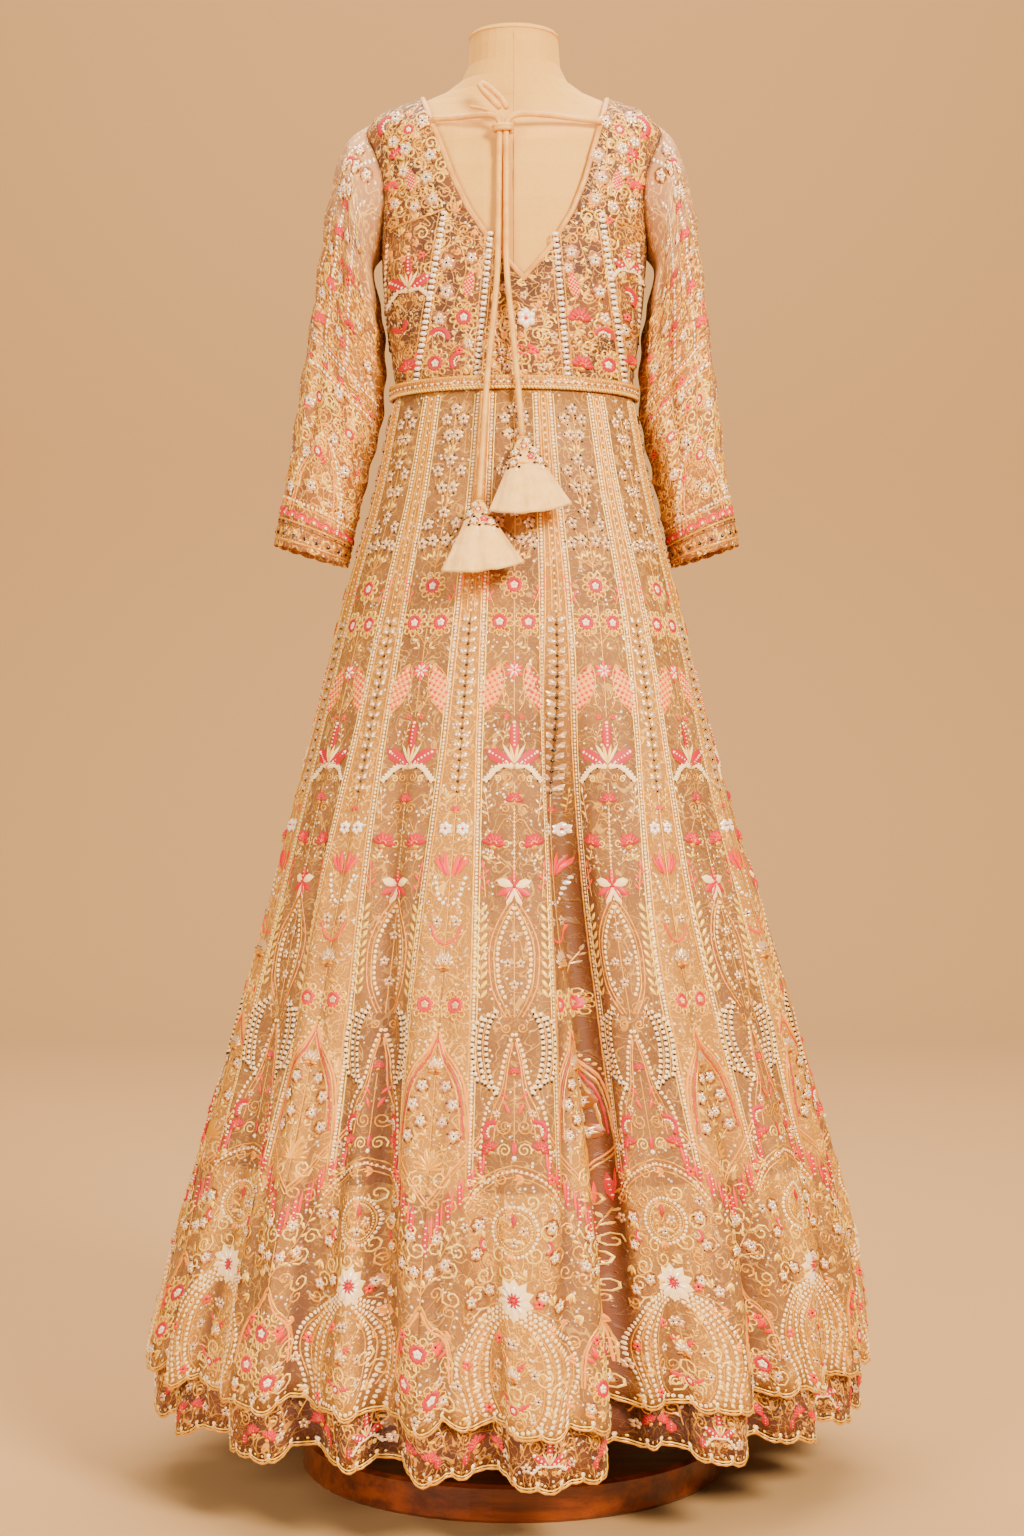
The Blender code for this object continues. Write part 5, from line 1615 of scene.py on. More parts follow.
def stitch_yokes(work):
    """The shoulders over the yoke seams."""
    work.both(work.ring_flower, (0.124, 1.564, 0.0115))
    work.both(work.crescent, (0.148, 1.572, 0.011, 60))
    for x, z, size in (
        (0.108, 1.572, 0.0072), (0.14, 1.581, 0.0072), (0.127, 1.541, 0.0072), (0.098, 1.53, 0.007),
        (0.102, 1.504, 0.007), (0.142, 1.552, 0.0066), (0.129, 1.515, 0.0066), (0.095, 1.479, 0.0062),
        (0.139, 1.48, 0.0062), (0.116, 1.473, 0.006),
    ):
        work.both(work.cluster, (x, z, 1.25 * size, x * 900))
    work.both(work.carnation, (0.137, 1.535, 0.0115, 20), (0.143, 1.499, 0.0105, -10, "coral"))
    work.both(work.checked_leaf, (0.118, 1.49, 0.028, 10))
    curls = ((0.112, 1.545, 1), (0.112, 1.522, -1), (0.121, 1.5, 1), (0.106, 1.487, -1), (0.131, 1.497, -1))
    for x, z, hand in curls + ((0.149, 1.56, 1),):
        work.both(work.scroll, (x, z, 0.0068, 60, hand, "gold", 0.0016, 1.5))
    for start, end in (
        ((0.092, 1.468), (0.11, 1.56)), ((0.112, 1.46), (0.133, 1.58)), ((0.135, 1.458), (0.148, 1.59)),
    ):
        middle = ((start[0] + end[0]) / 2 + 0.005, (start[1] + end[1]) / 2)
        work.vines([start, middle, end], leaf=0.0075, gap=0.01)
    work.curves([(0.08, 1.4665), (0.11, 1.459), (0.146, 1.4525)], 0.0024, "gold", 0.004, 0.5)


def stitch_front(work):
    """The chest, worked like the back but with the opening's V at the middle."""
    work.filigree(
        -0.15, 0.15, 1.278, 1.59, 0.0125, lambda x, z: z < 1.46 or abs(x) > 0.012 + 0.9 * (z - 1.46),
    )
    for row in (((0.085, 1.5), (0.117, 1.272)), ((0.036, 1.475), (0.053, 1.272))):
        for knots in mirrored(row):
            path = smooth_path(knots, step=0.0054)
            work.beads(path, 0.0024, "bright_silver")
            for edge in (-1, 1):
                work.line(beside(path, edge * 0.0056), 0.0015, "gold", beaded=0.5)
    for x, z in ((0.075, 1.42), (0.072, 1.35), (0.076, 1.285), (0.128, 1.36), (0.02, 1.33)):
        work.both(work.ring_flower, (x, z, 0.0115))
    heads = (
        (0.062, 1.45), (0.09, 1.455), (0.06, 1.385), (0.09, 1.32), (0.13, 1.32), (0.018, 1.42),
        (0.02, 1.375),
    )
    for x, z in heads + ((0.02, 1.29),):
        for side in (-1, 1):
            work.cluster(side * x, z, 0.0072, x * 900)
    for x, z in ((0.088, 1.385), (0.06, 1.318), (0.128, 1.29), (0.11, 1.53), (0.125, 1.4)):
        work.both(work.carnation, (x, z, 0.01, 10))
    for side in (-1, 1):
        for x in (0.068, 0.098, 0.13, 0.02):
            stem = [
                (side * x, 1.275), (side * (x + 0.006), 1.33), (side * (x - 0.004), 1.38), (side * x, 1.43),
            ]
            work.vine(stem, leaf=0.0075)
    for x, z in ((0.11, 1.56), (0.128, 1.545), (0.1, 1.51), (0.13, 1.5), (0.12, 1.47)):
        work.both(work.cluster, (x, z, 0.0072, 0))


def stitch_sleeve(work, length):
    """Half of a sleeve, x outwards from its middle and z down from the armhole as a negative height."""
    work.filigree(-0.062, 0.062, -length + 0.052, -0.13, 0.015)
    for x0, x1, top, bottom in (
        (0.052, 0.056, -0.01, -0.3), (0.026, 0.03, -0.004, -0.25), (-0.012, -0.006, -0.03, -0.23),
    ):
        path = smooth_path(
            [(x0, top), (0.5 * (x0 + x1) + 0.004, 0.5 * (top + bottom)), (x1, bottom)], step=0.0062,
        )
        work.beads(path, 0.0021, "bright_silver")
    flowers = (
        (0.04, -0.07), (0.01, -0.095), (0.045, -0.135), (-0.018, -0.075), (-0.03, -0.12), (0.018, -0.15),
        (0.048, -0.185), (-0.025, -0.165), (0.01, -0.205), (0.04, -0.3), (-0.005, -0.32), (0.03, -0.352),
        (-0.025, -0.345), (0.012, -0.385), (0.044, -0.395), (-0.03, -0.4), (0.0, -0.27), (-0.04, -0.2),
    )
    for k, (x, z) in enumerate(flowers):
        work.cluster(x, z, 0.008, 25 * k)
    fans = (
        (0.028, -0.11, 20), (-0.004, -0.13, -20), (0.032, -0.17, 0), (-0.01, -0.185, 15),
        (0.044, -0.215, 10),
    )
    for x, z, turn in fans:
        work.carnation(x, z, 0.012, turn, "coral" if x > 0.03 else "red")
    for x, z in ((0.028, -0.29), (-0.022, -0.3), (0.012, -0.345)):
        work.ring_flower(x, z, 0.0115)
    for x, turn in ((0.046, 8), (0.02, -6), (-0.02, 10), (-0.044, -8)):
        for z in (-0.09, -0.15, -0.205):
            work.vine([(x, z), (x + 0.006, z + 0.024), (x - 0.004, z + 0.048)], leaf=0.008)
            work.scroll(x + 0.011, z + 0.018, 0.0075, turn * 6, 1 if turn > 0 else -1, coils=1.5)
        for z in (-0.3, -0.35, -0.4):
            work.vine([(x, z), (x - 0.006, z + 0.02), (x + 0.003, z + 0.04)], leaf=0.008)
            work.scroll(x - 0.01, z + 0.014, 0.0085, 60 + turn, -1, "pale_gold", coils=1.6)
    for down in (-0.238, -0.262):
        band = smooth_path([(-0.066, down + 0.004), (0.0, down), (0.066, down + 0.004)], step=0.0058)
        work.beads(band, 0.002, "bright_silver")
        work.line(band + (0.0, -0.0042), 0.0018, "gold", beaded=0.5)
        work.line(band + (0.0, 0.0042), 0.0018, "peach", beaded=0.5)
    for k in range(-2, 3):
        work.carnation(0.026 * k, -0.256, 0.0068, 0, "red" if k % 2 else "coral")
    for arch in mirrored([(0.004, -0.325), (0.02, -0.345), (0.033, -0.38), (0.036, -0.42)]):
        work.pearl_line([(x + 0.006, z) for x, z in arch], 0.0058, 0.002, "bright_silver")
        for share, thread in ((0.85, "gold"), (0.72, "peach")):
            work.curve([(x * share + 0.006, z) for x, z in arch], 0.0018, thread, beaded=0.5)
    for x, z in (
        (0.046, -0.018), (0.03, -0.03), (0.05, -0.046), (0.014, -0.02), (0.034, -0.06), (0.02, -0.052),
    ):
        work.cluster(x, z, 0.008, 900 * x)
    work.crescent(0.04, -0.04, 0.009, 50)
    work.carnation(0.024, -0.076, 0.011, 20)
    edge = -length
    turn = np.linspace(0.0, np.pi, 7)
    for k in range(-4, 5):
        x = 0.015 * k
        for reach, thread in ((0.007, "coral"), (0.0048, "pink")):
            arc = np.stack([x - reach * np.cos(turn), edge + 0.034 + reach * 1.2 * np.sin(turn)], axis=1)
            work.line(arc, 0.0022, thread, 0.0012)
        work.beads([(x, edge + 0.037)], 0.0019, "bright_silver")
        work.petals([(x, edge + 0.012, 0.0052, 0.0105, 0.0)], "gold")
        work.beads([(x + 0.0075, edge + 0.015)], 0.0024, "crystal")
        work.beads([(x, edge + 0.028)], 0.0016, "crystal")
    for up, width, thread in (
        (0.03, 0.0022, "gold"), (0.026, 0.002, "deep_gold"), (0.0085, 0.0026, "gold"),
        (0.048, 0.002, "gold"),
    ):
        work.curve([(x, edge + up) for x in (-0.068, 0.0, 0.068)], width, thread, 0.004, 0.5)
    work.pearl_line([(x, edge + 0.0525) for x in (-0.066, 0.0, 0.066)], 0.0056, 0.0019)


# ---------------------------------------------------------------- cloth finishes


def net_finish(
    name, ground, shaded, golden, filigree, dots, alpha=1.0, sheer=None, zoned=False, paint_fold_shade=False,
):
    """Embroidered net: a woven ground, curling gold thread and small sequins.

    The zone layout says where a zoned cloth is golden, above 0, and how deep in a fold each point lies.
    A cloth with shaded folds gets painted shade in them, darker the deeper it lies in a fold.
    A sheer cloth thins out above the height given as sheer.
    """
    made = Finish(name, 0.62, 0.0, Sheen_Weight=0.04, Sheen_Roughness=0.5)
    flat = made.layout("flat")
    x, z, _ = made.parts(flat)
    curls = (made.noise(flat, 46.0, 1.5, 0.5, 0.9) - 0.5).size().rise(0.024, 0.01)
    fine = (made.noise(flat, 118.0, 1.0, 0.5, 0.6) - 0.5).size().rise(0.036, 0.012)
    seeds = made.cells(flat, 150.0).rise(0.25, 0.18)
    sparse = made.noise(flat, 36.0, 1.0).rise(0.46, 0.54)
    weave = (x * 2600.0).wave() * (z * 2600.0).wave()
    tone = made.noise(flat, 9.0, 4.0, 0.6)
    colour = made.blend(tone.rise(0.32, 0.68), linear(*ground), linear(*shaded))
    fill = made.noise(flat, 21.0, 3.0).rise(0.42, 0.62) * 0.5
    if paint_fold_shade:
        zone, hollow, _ = made.parts(made.layout("zone"))
    if zoned:
        fill = (zone + (tone - 0.5) * 0.01).rise(-0.003, 0.003) * 0.75
        fine = fine * (0.3 + 0.7 * fill)
        curls = curls * (0.45 + 0.55 * fill)
    colour = made.blend(fill * 0.85, colour, linear(*golden))
    colour = made.blend(0.12 + 0.12 * weave, colour, linear(*[c * 0.6 for c in ground]))
    colour = made.blend(fine * 0.6, colour, linear(*filigree))
    colour = made.blend(curls * 0.9, colour, linear(*filigree))
    colour = made.blend(seeds * sparse * 0.9, colour, linear(*dots))
    if sheer is not None:
        veil = z.rise(sheer - 0.05, sheer + 0.05)
        colour = made.blend(veil * 0.35, colour, linear(226, 184, 146))
        curls = curls * (1.0 - 0.6 * veil)
    # Painted shade: the colour darkens the deeper the cloth lies in a fold, down to dark brown in the
    # deepest valleys.
    if paint_fold_shade:
        deep = hollow.rise(0.1, 1.15)
        red, green, blue = ground
        colour = made.blend(deep * 0.85, colour, linear(0.56 * red, 0.42 * green, 0.28 * blue))
        colour = made.blend(hollow.rise(1.2, 1.75) * 0.6, colour, linear(112, 64, 18))
    made.set("Base Color", colour)
    made.set("Roughness", 0.7 - 0.25 * curls - 0.4 * seeds)
    made.bump(curls * 0.9 + fine * 0.5 + seeds * 1.1 + weave * 0.1 + tone * 0.5, 0.6, 0.0013)
    if alpha < 1.0:
        cover = curls.maths("MAXIMUM", curls, seeds)
        made.set("Alpha", alpha + (1.0 - alpha) * cover)
    return made.material


def satin_finish(name, colour, deep):
    made = Finish(name, 0.46, 0.0, Sheen_Weight=0.06)
    where = made.places()
    tone = made.noise(where, 60.0, 3.0, 0.6)
    fine = made.noise(where, 900.0, 2.0, 0.6)
    made.set("Base Color", made.blend(tone.rise(0.35, 0.7) * 0.7, linear(*colour), linear(*deep)))
    made.set("Roughness", 0.36 + 0.22 * tone)
    made.bump(tone * 0.6 + fine * 0.4, 0.5, 0.001)
    return made.material


def tassel_finish():
    """Fuzzy brushed cloth with pale streaks, darker in random mottled patches."""
    made = Finish("tassel_cloth", 0.85, 0.0, Sheen_Weight=0.25, Sheen_Roughness=0.4)
    flat = made.layout("flat")
    streaks = made.noise(made.stretched(flat, (900.0, 60.0, 1.0)), 1.0, 3.0, 0.65)
    fuzz = made.noise(made.places(), 700.0, 3.0, 0.7)
    mottle = made.noise(made.places(), 70.0, 4.0, 0.6)
    colour = made.blend(mottle.rise(0.35, 0.7) * 0.5, linear(240, 196, 138), linear(210, 156, 100))
    made.set("Base Color", made.blend(streaks.rise(0.45, 0.75) * 0.4, colour, linear(252, 228, 194)))
    made.bump(streaks * 0.6 + fuzz * 0.6 + mottle, 0.6, 0.0015)
    return made.material


def form_finish():
    """Fine linen stretched over the form, with faint marks of use."""
    made = Finish("linen", 0.82, 0.0, Sheen_Weight=0.05)
    where = made.places()
    x, y, z = made.parts(where)
    warp = made.noise(made.stretched(where, (420.0, 420.0, 1500.0)), 1.0, 2.0, 0.6)
    weft = made.noise(made.stretched(where, (1500.0, 1500.0, 420.0)), 1.0, 2.0, 0.6)
    marks = made.noise(where, 7.0, 5.0, 0.65)
    colour = made.blend(marks.rise(0.42, 0.75) * 0.45, linear(212, 166, 108), linear(190, 140, 86))
    colour = made.blend((warp + weft).rise(0.85, 1.25) * 0.35, colour, linear(230, 190, 132))
    made.set("Base Color", colour)
    made.set("Roughness", 0.74 + 0.16 * marks)
    made.bump(warp + weft, 0.35, 0.0006)
    return made.material


def walnut_finish():
    made = Finish("walnut", 0.28, 0.0, Coat_Weight=0.35, Coat_Roughness=0.15)
    where = made.places()
    bent = made.shifted(where, 3.0, 0.06)
    grain = made.noise(made.stretched(bent, (3.0, 60.0, 60.0)), 1.0, 5.0, 0.65)
    pores = made.noise(made.stretched(bent, (18.0, 700.0, 700.0)), 1.0, 2.0, 0.6)
    colour = made.blend(grain.rise(0.32, 0.68), linear(128, 66, 30), linear(72, 32, 12))
    colour = made.blend(pores.rise(0.55, 0.75) * 0.6, colour, linear(52, 22, 8))
    made.set("Base Color", colour)
    made.set("Roughness", 0.22 + 0.25 * pores)
    made.bump(pores, 0.12, 0.0005)
    return made.material


def steel_finish():
    made = Finish("pole_steel", 0.35, 0.9)
    streaks = made.noise(made.stretched(made.places(), (900.0, 900.0, 12.0)), 1.0, 2.0, 0.6)
    made.set("Base Color", made.blend(streaks, linear(120, 112, 104), linear(160, 150, 140)))
    made.set("Roughness", 0.28 + 0.18 * streaks)
    return made.material


def braid_finish():
    """Gold braid: plaited cords with a metallic glint."""
    made = Finish("gold_braid", 0.45, 0.35)
    flat = made.layout("flat")
    x, z, _ = made.parts(flat)
    plait = ((x * 900.0 + z * 900.0).wave() * (x * 900.0 - z * 900.0).wave()).rise(-0.2, 0.6)
    colour = made.blend(plait, linear(170, 112, 58), linear(232, 186, 118))
    colour = made.blend(made.cells(flat, 240.0).rise(0.28, 0.2), colour, linear(250, 232, 205))
    made.set("Base Color", colour)
    made.bump(plait, 0.7, 0.0015)
    return made.material


# ---------------------------------------------------------------- making


def make_camera():
    camera = bpy.data.cameras.new("camera")
    camera.lens = 57.1
    camera.sensor_width = 36.0
    camera.sensor_fit = "AUTO"
    holder = bpy.data.objects.new("camera", camera)
    holder.location = (-0.0024, -2.9, 0.823)
    holder.rotation_euler = (math.radians(90.0), 0.0, 0.0)
    bpy.context.collection.objects.link(holder)
    bpy.context.scene.camera = holder


def make_light(name, place, target, size, power, colour):
    light = bpy.data.lights.new(name, "AREA")
    light.shape = "RECTANGLE"
    light.size, light.size_y = size
    light.energy = power
    light.color = colour
    holder = bpy.data.objects.new(name, light)
    holder.location = place
    holder.rotation_euler = (Vector(target) - Vector(place)).to_track_quat("-Z", "Y").to_euler()
    bpy.context.collection.objects.link(holder)


def make_stage():
    """A seamless backdrop that curves up from the floor, and soft studio lights."""
    profile = [(-9.0, 0.0), (4.4, 0.0)]
    profile += [
        (4.4 + 2.0 * math.sin(a), 2.0 - 2.0 * math.cos(a)) for a in np.radians(np.arange(7.5, 90.1, 7.5))
    ]
    profile += [(6.4, 4.0), (6.4, 9.0)]
    points = [(x, y, z) for y, z in profile for x in (-11.0, 11.0)]
    faces = [(2 * i, 2 * i + 1, 2 * i + 3, 2 * i + 2) for i in range(len(profile) - 1)]
    paper = Finish("backdrop", 0.9)
    paper.set("Base Color", linear(170, 137, 103))
    backdrop = make_piece(
        "backdrop", np.array(points), np.array(faces), ride=False, materials=[paper.material],
    )
    world = bpy.data.worlds.new("studio")
    world.use_nodes = True
    world.node_tree.nodes["Background"].inputs[0].default_value = (1.0, 0.91, 0.8, 1.0)
    world.node_tree.nodes["Background"].inputs[1].default_value = 0.27
    bpy.context.scene.world = world
    make_light("key", (2.3, -3.1, 3.0), (0.0, 0.0, 0.85), (1.2, 1.2), 465.0, (1.0, 0.92, 0.8))
    make_light("fill", (-2.7, -3.1, 1.7), (0.0, 0.0, 0.8), (1.6, 2.2), 215.0, (1.0, 0.92, 0.82))
    make_light("wall", (0.0, 2.2, 5.6), (0.0, 6.2, 0.6), (7.0, 2.0), 620.0, (1.0, 0.93, 0.84))
    make_light("top", (0.0, 0.6, 4.2), (0.0, 0.2, 0.0), (3.0, 2.4), 230.0, (1.0, 0.93, 0.84))


def make_cords(material):
    """The tie's cords, bow loop and short end, each under its tassel or into the knot."""
    made = {}
    for name, route in CORD_ROUTES.items():
        path = smooth_path(route, step=0.006)
        radius = CORD_RADIUS * (1.0 + 0.05 * np.sin(np.arange(len(path)) * 1.7))
        piece = tube(name + "_cord", path, radius, [material])
        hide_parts(name)
        made[name] = (piece, path)
    tail = smooth_path(
        [
            (-0.016, -0.0945, 1.57), (-0.028, -0.0925, 1.58), (-0.042, -0.088, 1.585),
            (-0.05, -0.086, 1.5865),
        ],
        step=0.004,
    )
    piece = tube(
        "dori_short_end", tail, np.linspace(CORD_RADIUS * 0.8, CORD_RADIUS * 0.55, len(tail)), [material],
    )
    made["short"] = (piece, tail)
    return made


def make_knot(material):
    """Two turns of cord wound over the crossing."""
    turn = np.linspace(0.0, 4 * np.pi, 49)
    x = KNOT[0] + 0.0105 * np.cos(turn)
    y = KNOT[1] + 0.0063 * np.sin(turn)
    z = KNOT[2] - 0.0032 + 0.0064 * turn / turn[-1]
    piece = tube("dori_wound_knot", np.stack([x, y, z], axis=1), 0.0029, [material])
    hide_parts("dori_knot")


TASSEL_COLUMNS = ("share", "width", "depth")
TASSEL_PROFILE = ((0.0, 0.005, 0.005), (0.12, 0.0105, 0.009), (0.55, 0.027, 0.016), (1.0, 0.0465, 0.02))


class Tassel(Cloth):
    """A flat cone of gathered cloth. Rows run down, columns round from its side by the outer face."""

    AROUND = 96

    def __init__(self, top, foot, lean, phase):
        top, foot = np.array(top), np.array(foot)
        down = (foot - top) / np.linalg.norm(foot - top)
        across = np.array([math.cos(math.radians(lean)), 0.0, math.sin(math.radians(lean))])
        across -= down * np.dot(across, down)
        across /= np.linalg.norm(across)
        through = np.cross(across, down)
        self.length = float(np.linalg.norm(foot - top))
        share = np.linspace(0.0, 1.0, 31)
        row = smooth_table(TASSEL_COLUMNS, TASSEL_PROFILE, share)
        angle = 2 * np.pi * np.arange(self.AROUND) / self.AROUND
        ripple = 1.0 + np.outer(
            share**1.3, 0.045 * np.sin(9 * angle + phase) + 0.035 * np.sin(14 * angle + 2 * phase),
        )
        outwards = 1.0 if through[1] < 0 else -1.0
        bow = np.outer(share**3, 0.004 * np.sin(angle) ** 2 + 0.015 * outwards * np.sin(angle))
        grid = (
            top
            + down * (share[:, None] * self.length + bow)[..., None]
            + across * (row["width"][:, None] * np.cos(angle) * (0.5 + 0.5 * ripple))[..., None]
            + through * (row["depth"][:, None] * np.sin(angle) * ripple)[..., None]
        )
        super().__init__(grid, closed=True)
        inwards = grid - grid.mean(axis=1, keepdims=True)
        if np.sum(self.normal * inwards) < 0:
            self.normal = -self.normal
        self.widths = row["width"]
        self.outer = 24 if through[1] < 0 else 72

    def place(self, x, z, lift):
        """x across the outer face, z down from the top, negative."""
        row = -z / self.length * 30
        width = np.interp(row, np.arange(31), self.widths)
        away = np.degrees(np.arcsin(np.clip(x / width, -0.98, 0.98))) / 360 * self.AROUND
        return self.at(self.outer - away if self.outer == 24 else self.outer + away, row, lift)


def make_tassel(word, top, foot, lean, finish, trims):
    tassel = Tassel(top, foot, lean, 1.0 if word == "left" else 2.4)
    grid = np.concatenate([tassel.grid, tassel.grid[:, :1]], axis=1)
    rim = tassel.grid[-1].mean(axis=0)
    inside = rim + (grid[-1] - rim) * 0.45 + (tassel.grid[-4].mean(axis=0) - rim) * 1.0
    middle = np.concatenate(
        [grid, inside[None], np.repeat(inside.mean(axis=0)[None, None], grid.shape[1], axis=1)]
    )
    rows, columns, _ = middle.shape
    number = np.arange(rows * columns).reshape(rows, columns)
    faces = np.stack(
        [number[1:, :-1], number[1:, 1:], number[:-1, 1:], number[:-1, :-1]], axis=-1,
    ).reshape(-1, 4)
    u, v = np.meshgrid(np.linspace(0, 0.22, columns), np.linspace(0, tassel.length, rows))
    flat = {"flat": np.stack([u, v], axis=-1).reshape(-1, 2)}
    piece = make_piece(
        f"tassel_{word}_cloth", middle.reshape(-1, 3), faces, materials=[finish], layouts=flat,
    )
    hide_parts(f"tassel_{word}")
    work = Stitching()
    drop = tassel.length
    work.beads(np.stack([np.linspace(-0.004, 0.004, 4), np.full(4, -0.003)], axis=1), 0.0024, "gold")
    for x, z, size in trims:
        work.cluster(x, -z * drop, size, 30 + 900 * x)
        work.beads([(x + 0.006, -z * drop - 0.006), (x - 0.006, -z * drop - 0.004)], 0.002, "crystal")
        work.beads([(x + 0.003, -z * drop - 0.009)], 0.0018, "bright_silver")
    work.ring_flower(0.0, -0.2 * drop, 0.0068, "red", "bright_silver")
    work.sequin_flower(0.006, -0.36 * drop, 0.0048, 0, "coral", "pearl")
    work.curve(
        [(-0.012, -0.4 * drop), (0.0, -0.45 * drop), (0.013, -0.4 * drop)], 0.0016, "gold", beaded=0.5,
    )
    trim = work.on_cloth(f"tassel_{word}_beads", tassel.place)
    return piece, trim


# ---------------------------------------------------------------- the bodice's panels

YOKE_SHARE = (YOKE_ARM - UNDERARM) / (ARM_SHOULDER - UNDERARM)


def centre_shift(z):
    """How far the back's middle line is towards +X at a height."""
    return CENTRE_SHIFT - SHIFT_FADES * max(z - NECKLINE[0][0], 0.0)


def neck_x(z, side):
    return side * float(np.interp(z, *zip(*NECKLINE))) + centre_shift(z)


def turn_at(x, z):
    return float(bodice.turn_of(np.array(x), np.array(z)))


def neck_corner(x):
    """The back neckline's point at x."""
    side = 1 if x > CENTRE_SHIFT else -1
    heights = [z for z, _ in NECKLINE]
    z = float(np.interp(side * x, [side * neck_x(h, side) for h in heights], heights))
    return turn_at(x, z), z


def yoke_height(turn):
    near = abs(turn_at(neck_x(YOKE_NECK, math.copysign(1, turn)), YOKE_NECK))
    far = armhole(YOKE_SHARE, 1)[0]
    turn = abs(turn)
    if turn <= far:
        return YOKE_NECK + (YOKE_ARM - YOKE_NECK) * (turn - near) / (far - near)
    return YOKE_ARM + (UNDERARM - YOKE_ARM) * (turn - far) / (90.0 - far)


def straight(start, end):
    start, end = np.array(start), np.array(end)
    return lambda t: start + (end - start) * t


def blend_patch(bottom, top, near, far, rows=48, columns=36):
    """A grid of (turn, height) between four edges, each a function of 0 to 1."""
    corners = [np.array(edge(end)) for edge in (bottom, top) for end in (0.0, 1.0)]
    across, up = np.linspace(0.0, 1.0, columns), 1.0 - np.linspace(0.0, 1.0, rows)
    low, high = (np.array([edge(u) for u in across])[None] for edge in (bottom, top))
    left, right = (np.array([edge(v) for v in up])[:, None] for edge in (near, far))
    u, v = across[None, :, None], up[:, None, None]
    return (
        (1 - u) * left
        + u * right
        + (1 - v) * (low - (1 - u) * corners[0] - u * corners[1])
        + v * (high - (1 - u) * corners[2] - u * corners[3])
    )


def waist_turn(half_width, side):
    return turn_at(side * half_width + centre_shift(WAIST), WAIST)


def hang_bodice(name, patch):
    """A bodice panel from its (turn, height) grid, with faint strain folds."""
    turn, z = patch[..., 0], patch[..., 1]
    pull = 0.0007 * np.sin(turn * 0.35 + z * 60.0) * np.sin(z * 85.0 + turn * 0.06)
    outer = bodice.by_turn(turn, z, pull)
    inner = bodice.by_turn(turn, z, pull - 0.0014)
    piece = hang(name + "_net", outer, inner, bodice_net, name, {"flat": (turn * 0.0022, z)})
    return piece, outer


def back_panel(bottom_turns, top):
    """A panel whose straight columns run from the waist seam to its top's (turn, height) points."""
    top = np.array(top)
    share = np.linspace(0.0, 1.0, len(top))
    fine = np.linspace(0.0, 1.0, 41)
    high = np.stack([np.interp(fine, share, top[:, k]) for k in (0, 1)], axis=1)
    low = np.stack([np.linspace(*bottom_turns, 41), np.full(41, WAIST + 0.5 * GAP)], axis=1)
    up = 1.0 - np.linspace(0.0, 1.0, 40)[:, None, None]
    return low + (high - low) * up


def yoke_neck_edge(v, side):
    low, high = YOKE_NECK + 0.5 * GAP, NECKLINE[-1][0]
    height = low + (high - low) * (1.0 - (1.0 - v) ** 2)
    return side * min(abs(turn_at(neck_x(height, side), height)), 89.7), height


def front_neck_edge(v):
    """Up the centre front, then round the neckline to the shoulder."""
    bottom = WAIST + 0.5 * GAP
    if v < 0.5:
        return 179.8, bottom + (FRONT_V - bottom) * v / 0.5
    up = 1.0 - (1.0 - (v - 0.5) / 0.5) ** 2
    height = FRONT_V + (NECKLINE[-1][0] - FRONT_V) * up
    return 180.0 - min(max(turn_at(NECKLINE[-1][1] * up**0.7, height), 0.2), 89.7), height


def front_arm_edge(v):
    bottom = WAIST + 0.5 * GAP
    if v < 0.5:
        return 90.3, bottom + (UNDERARM - bottom) * v / 0.5
    turn, height = armhole(1.0 - (1.0 - (v - 0.5) / 0.5) ** 1.4, 1, -ARMHOLE_FRONT_TURN)
    return max(turn, 90.3), height


def make_bodice():
    seam = math.degrees(GAP / 0.09)
    made = []
    inner_x = [side * ROW_INNER_TOP + centre_shift(YOKE_NECK) for side in (-1, 1)]
    points = np.concatenate(
        [np.linspace(inner_x[0], CENTRE_SHIFT, 20), np.linspace(CENTRE_SHIFT, inner_x[1], 20)[1:]]
    )
    top = [neck_corner(x) for x in points]
    ends = (waist_turn(ROW_INNER_BOTTOM, -1) + seam, waist_turn(ROW_INNER_BOTTOM, 1) - seam)
    made.append(hang_bodice("back_centre", back_panel(ends, top)))
    for side, word in ((-1, "left"), (1, "right")):
        row_turn = turn_at(side * ROW_OUTER_TOP + centre_shift(YOKE_NECK), YOKE_NECK)
        corner_x = neck_x(YOKE_NECK, side)
        top = [neck_corner(x) for x in np.linspace(inner_x[side > 0], corner_x, 16)]
        top += [(t, yoke_height(t)) for t in np.linspace(top[-1][0], row_turn - side * seam, 12)[1:]]
        ends = (
            waist_turn(ROW_INNER_BOTTOM, side) + side * seam,
            waist_turn(ROW_OUTER_BOTTOM, side) - side * seam,
        )
        made.append(hang_bodice("back_middle_" + word, back_panel(ends, top)))
        turns = np.linspace(row_turn + side * seam, side * 89.8, 30)
        ends = (waist_turn(ROW_OUTER_BOTTOM, side) + side * seam, side * 89.8)
        made.append(
            hang_bodice("back_side_" + word, back_panel(ends, [(t, yoke_height(t) - GAP) for t in turns]))
        )

        def neck_edge(v, side=side):
            return yoke_neck_edge(v, side)

        def arm_edge(v, side=side):
            turn, height = armhole(YOKE_SHARE + (1.0 - YOKE_SHARE) * (1.0 - (1.0 - v) ** 1.4), side)
            return side * min(abs(turn), 89.7), height + 0.5 * GAP

        low, high = straight(neck_edge(0.0), arm_edge(0.0)), straight(neck_edge(1.0), arm_edge(1.0))
        made.append(hang_bodice("back_yoke_" + word, blend_patch(low, high, neck_edge, arm_edge)))
    low = straight(front_arm_edge(0.0), front_neck_edge(0.0))
    high = straight(front_arm_edge(1.0), front_neck_edge(1.0))
    patch = blend_patch(low, high, front_arm_edge, front_neck_edge, 60, 40)
    for side, word in ((-1, "left"), (1, "right")):
        made.append(hang_bodice("front_bodice_" + word, patch * (side, 1.0)))
    return made


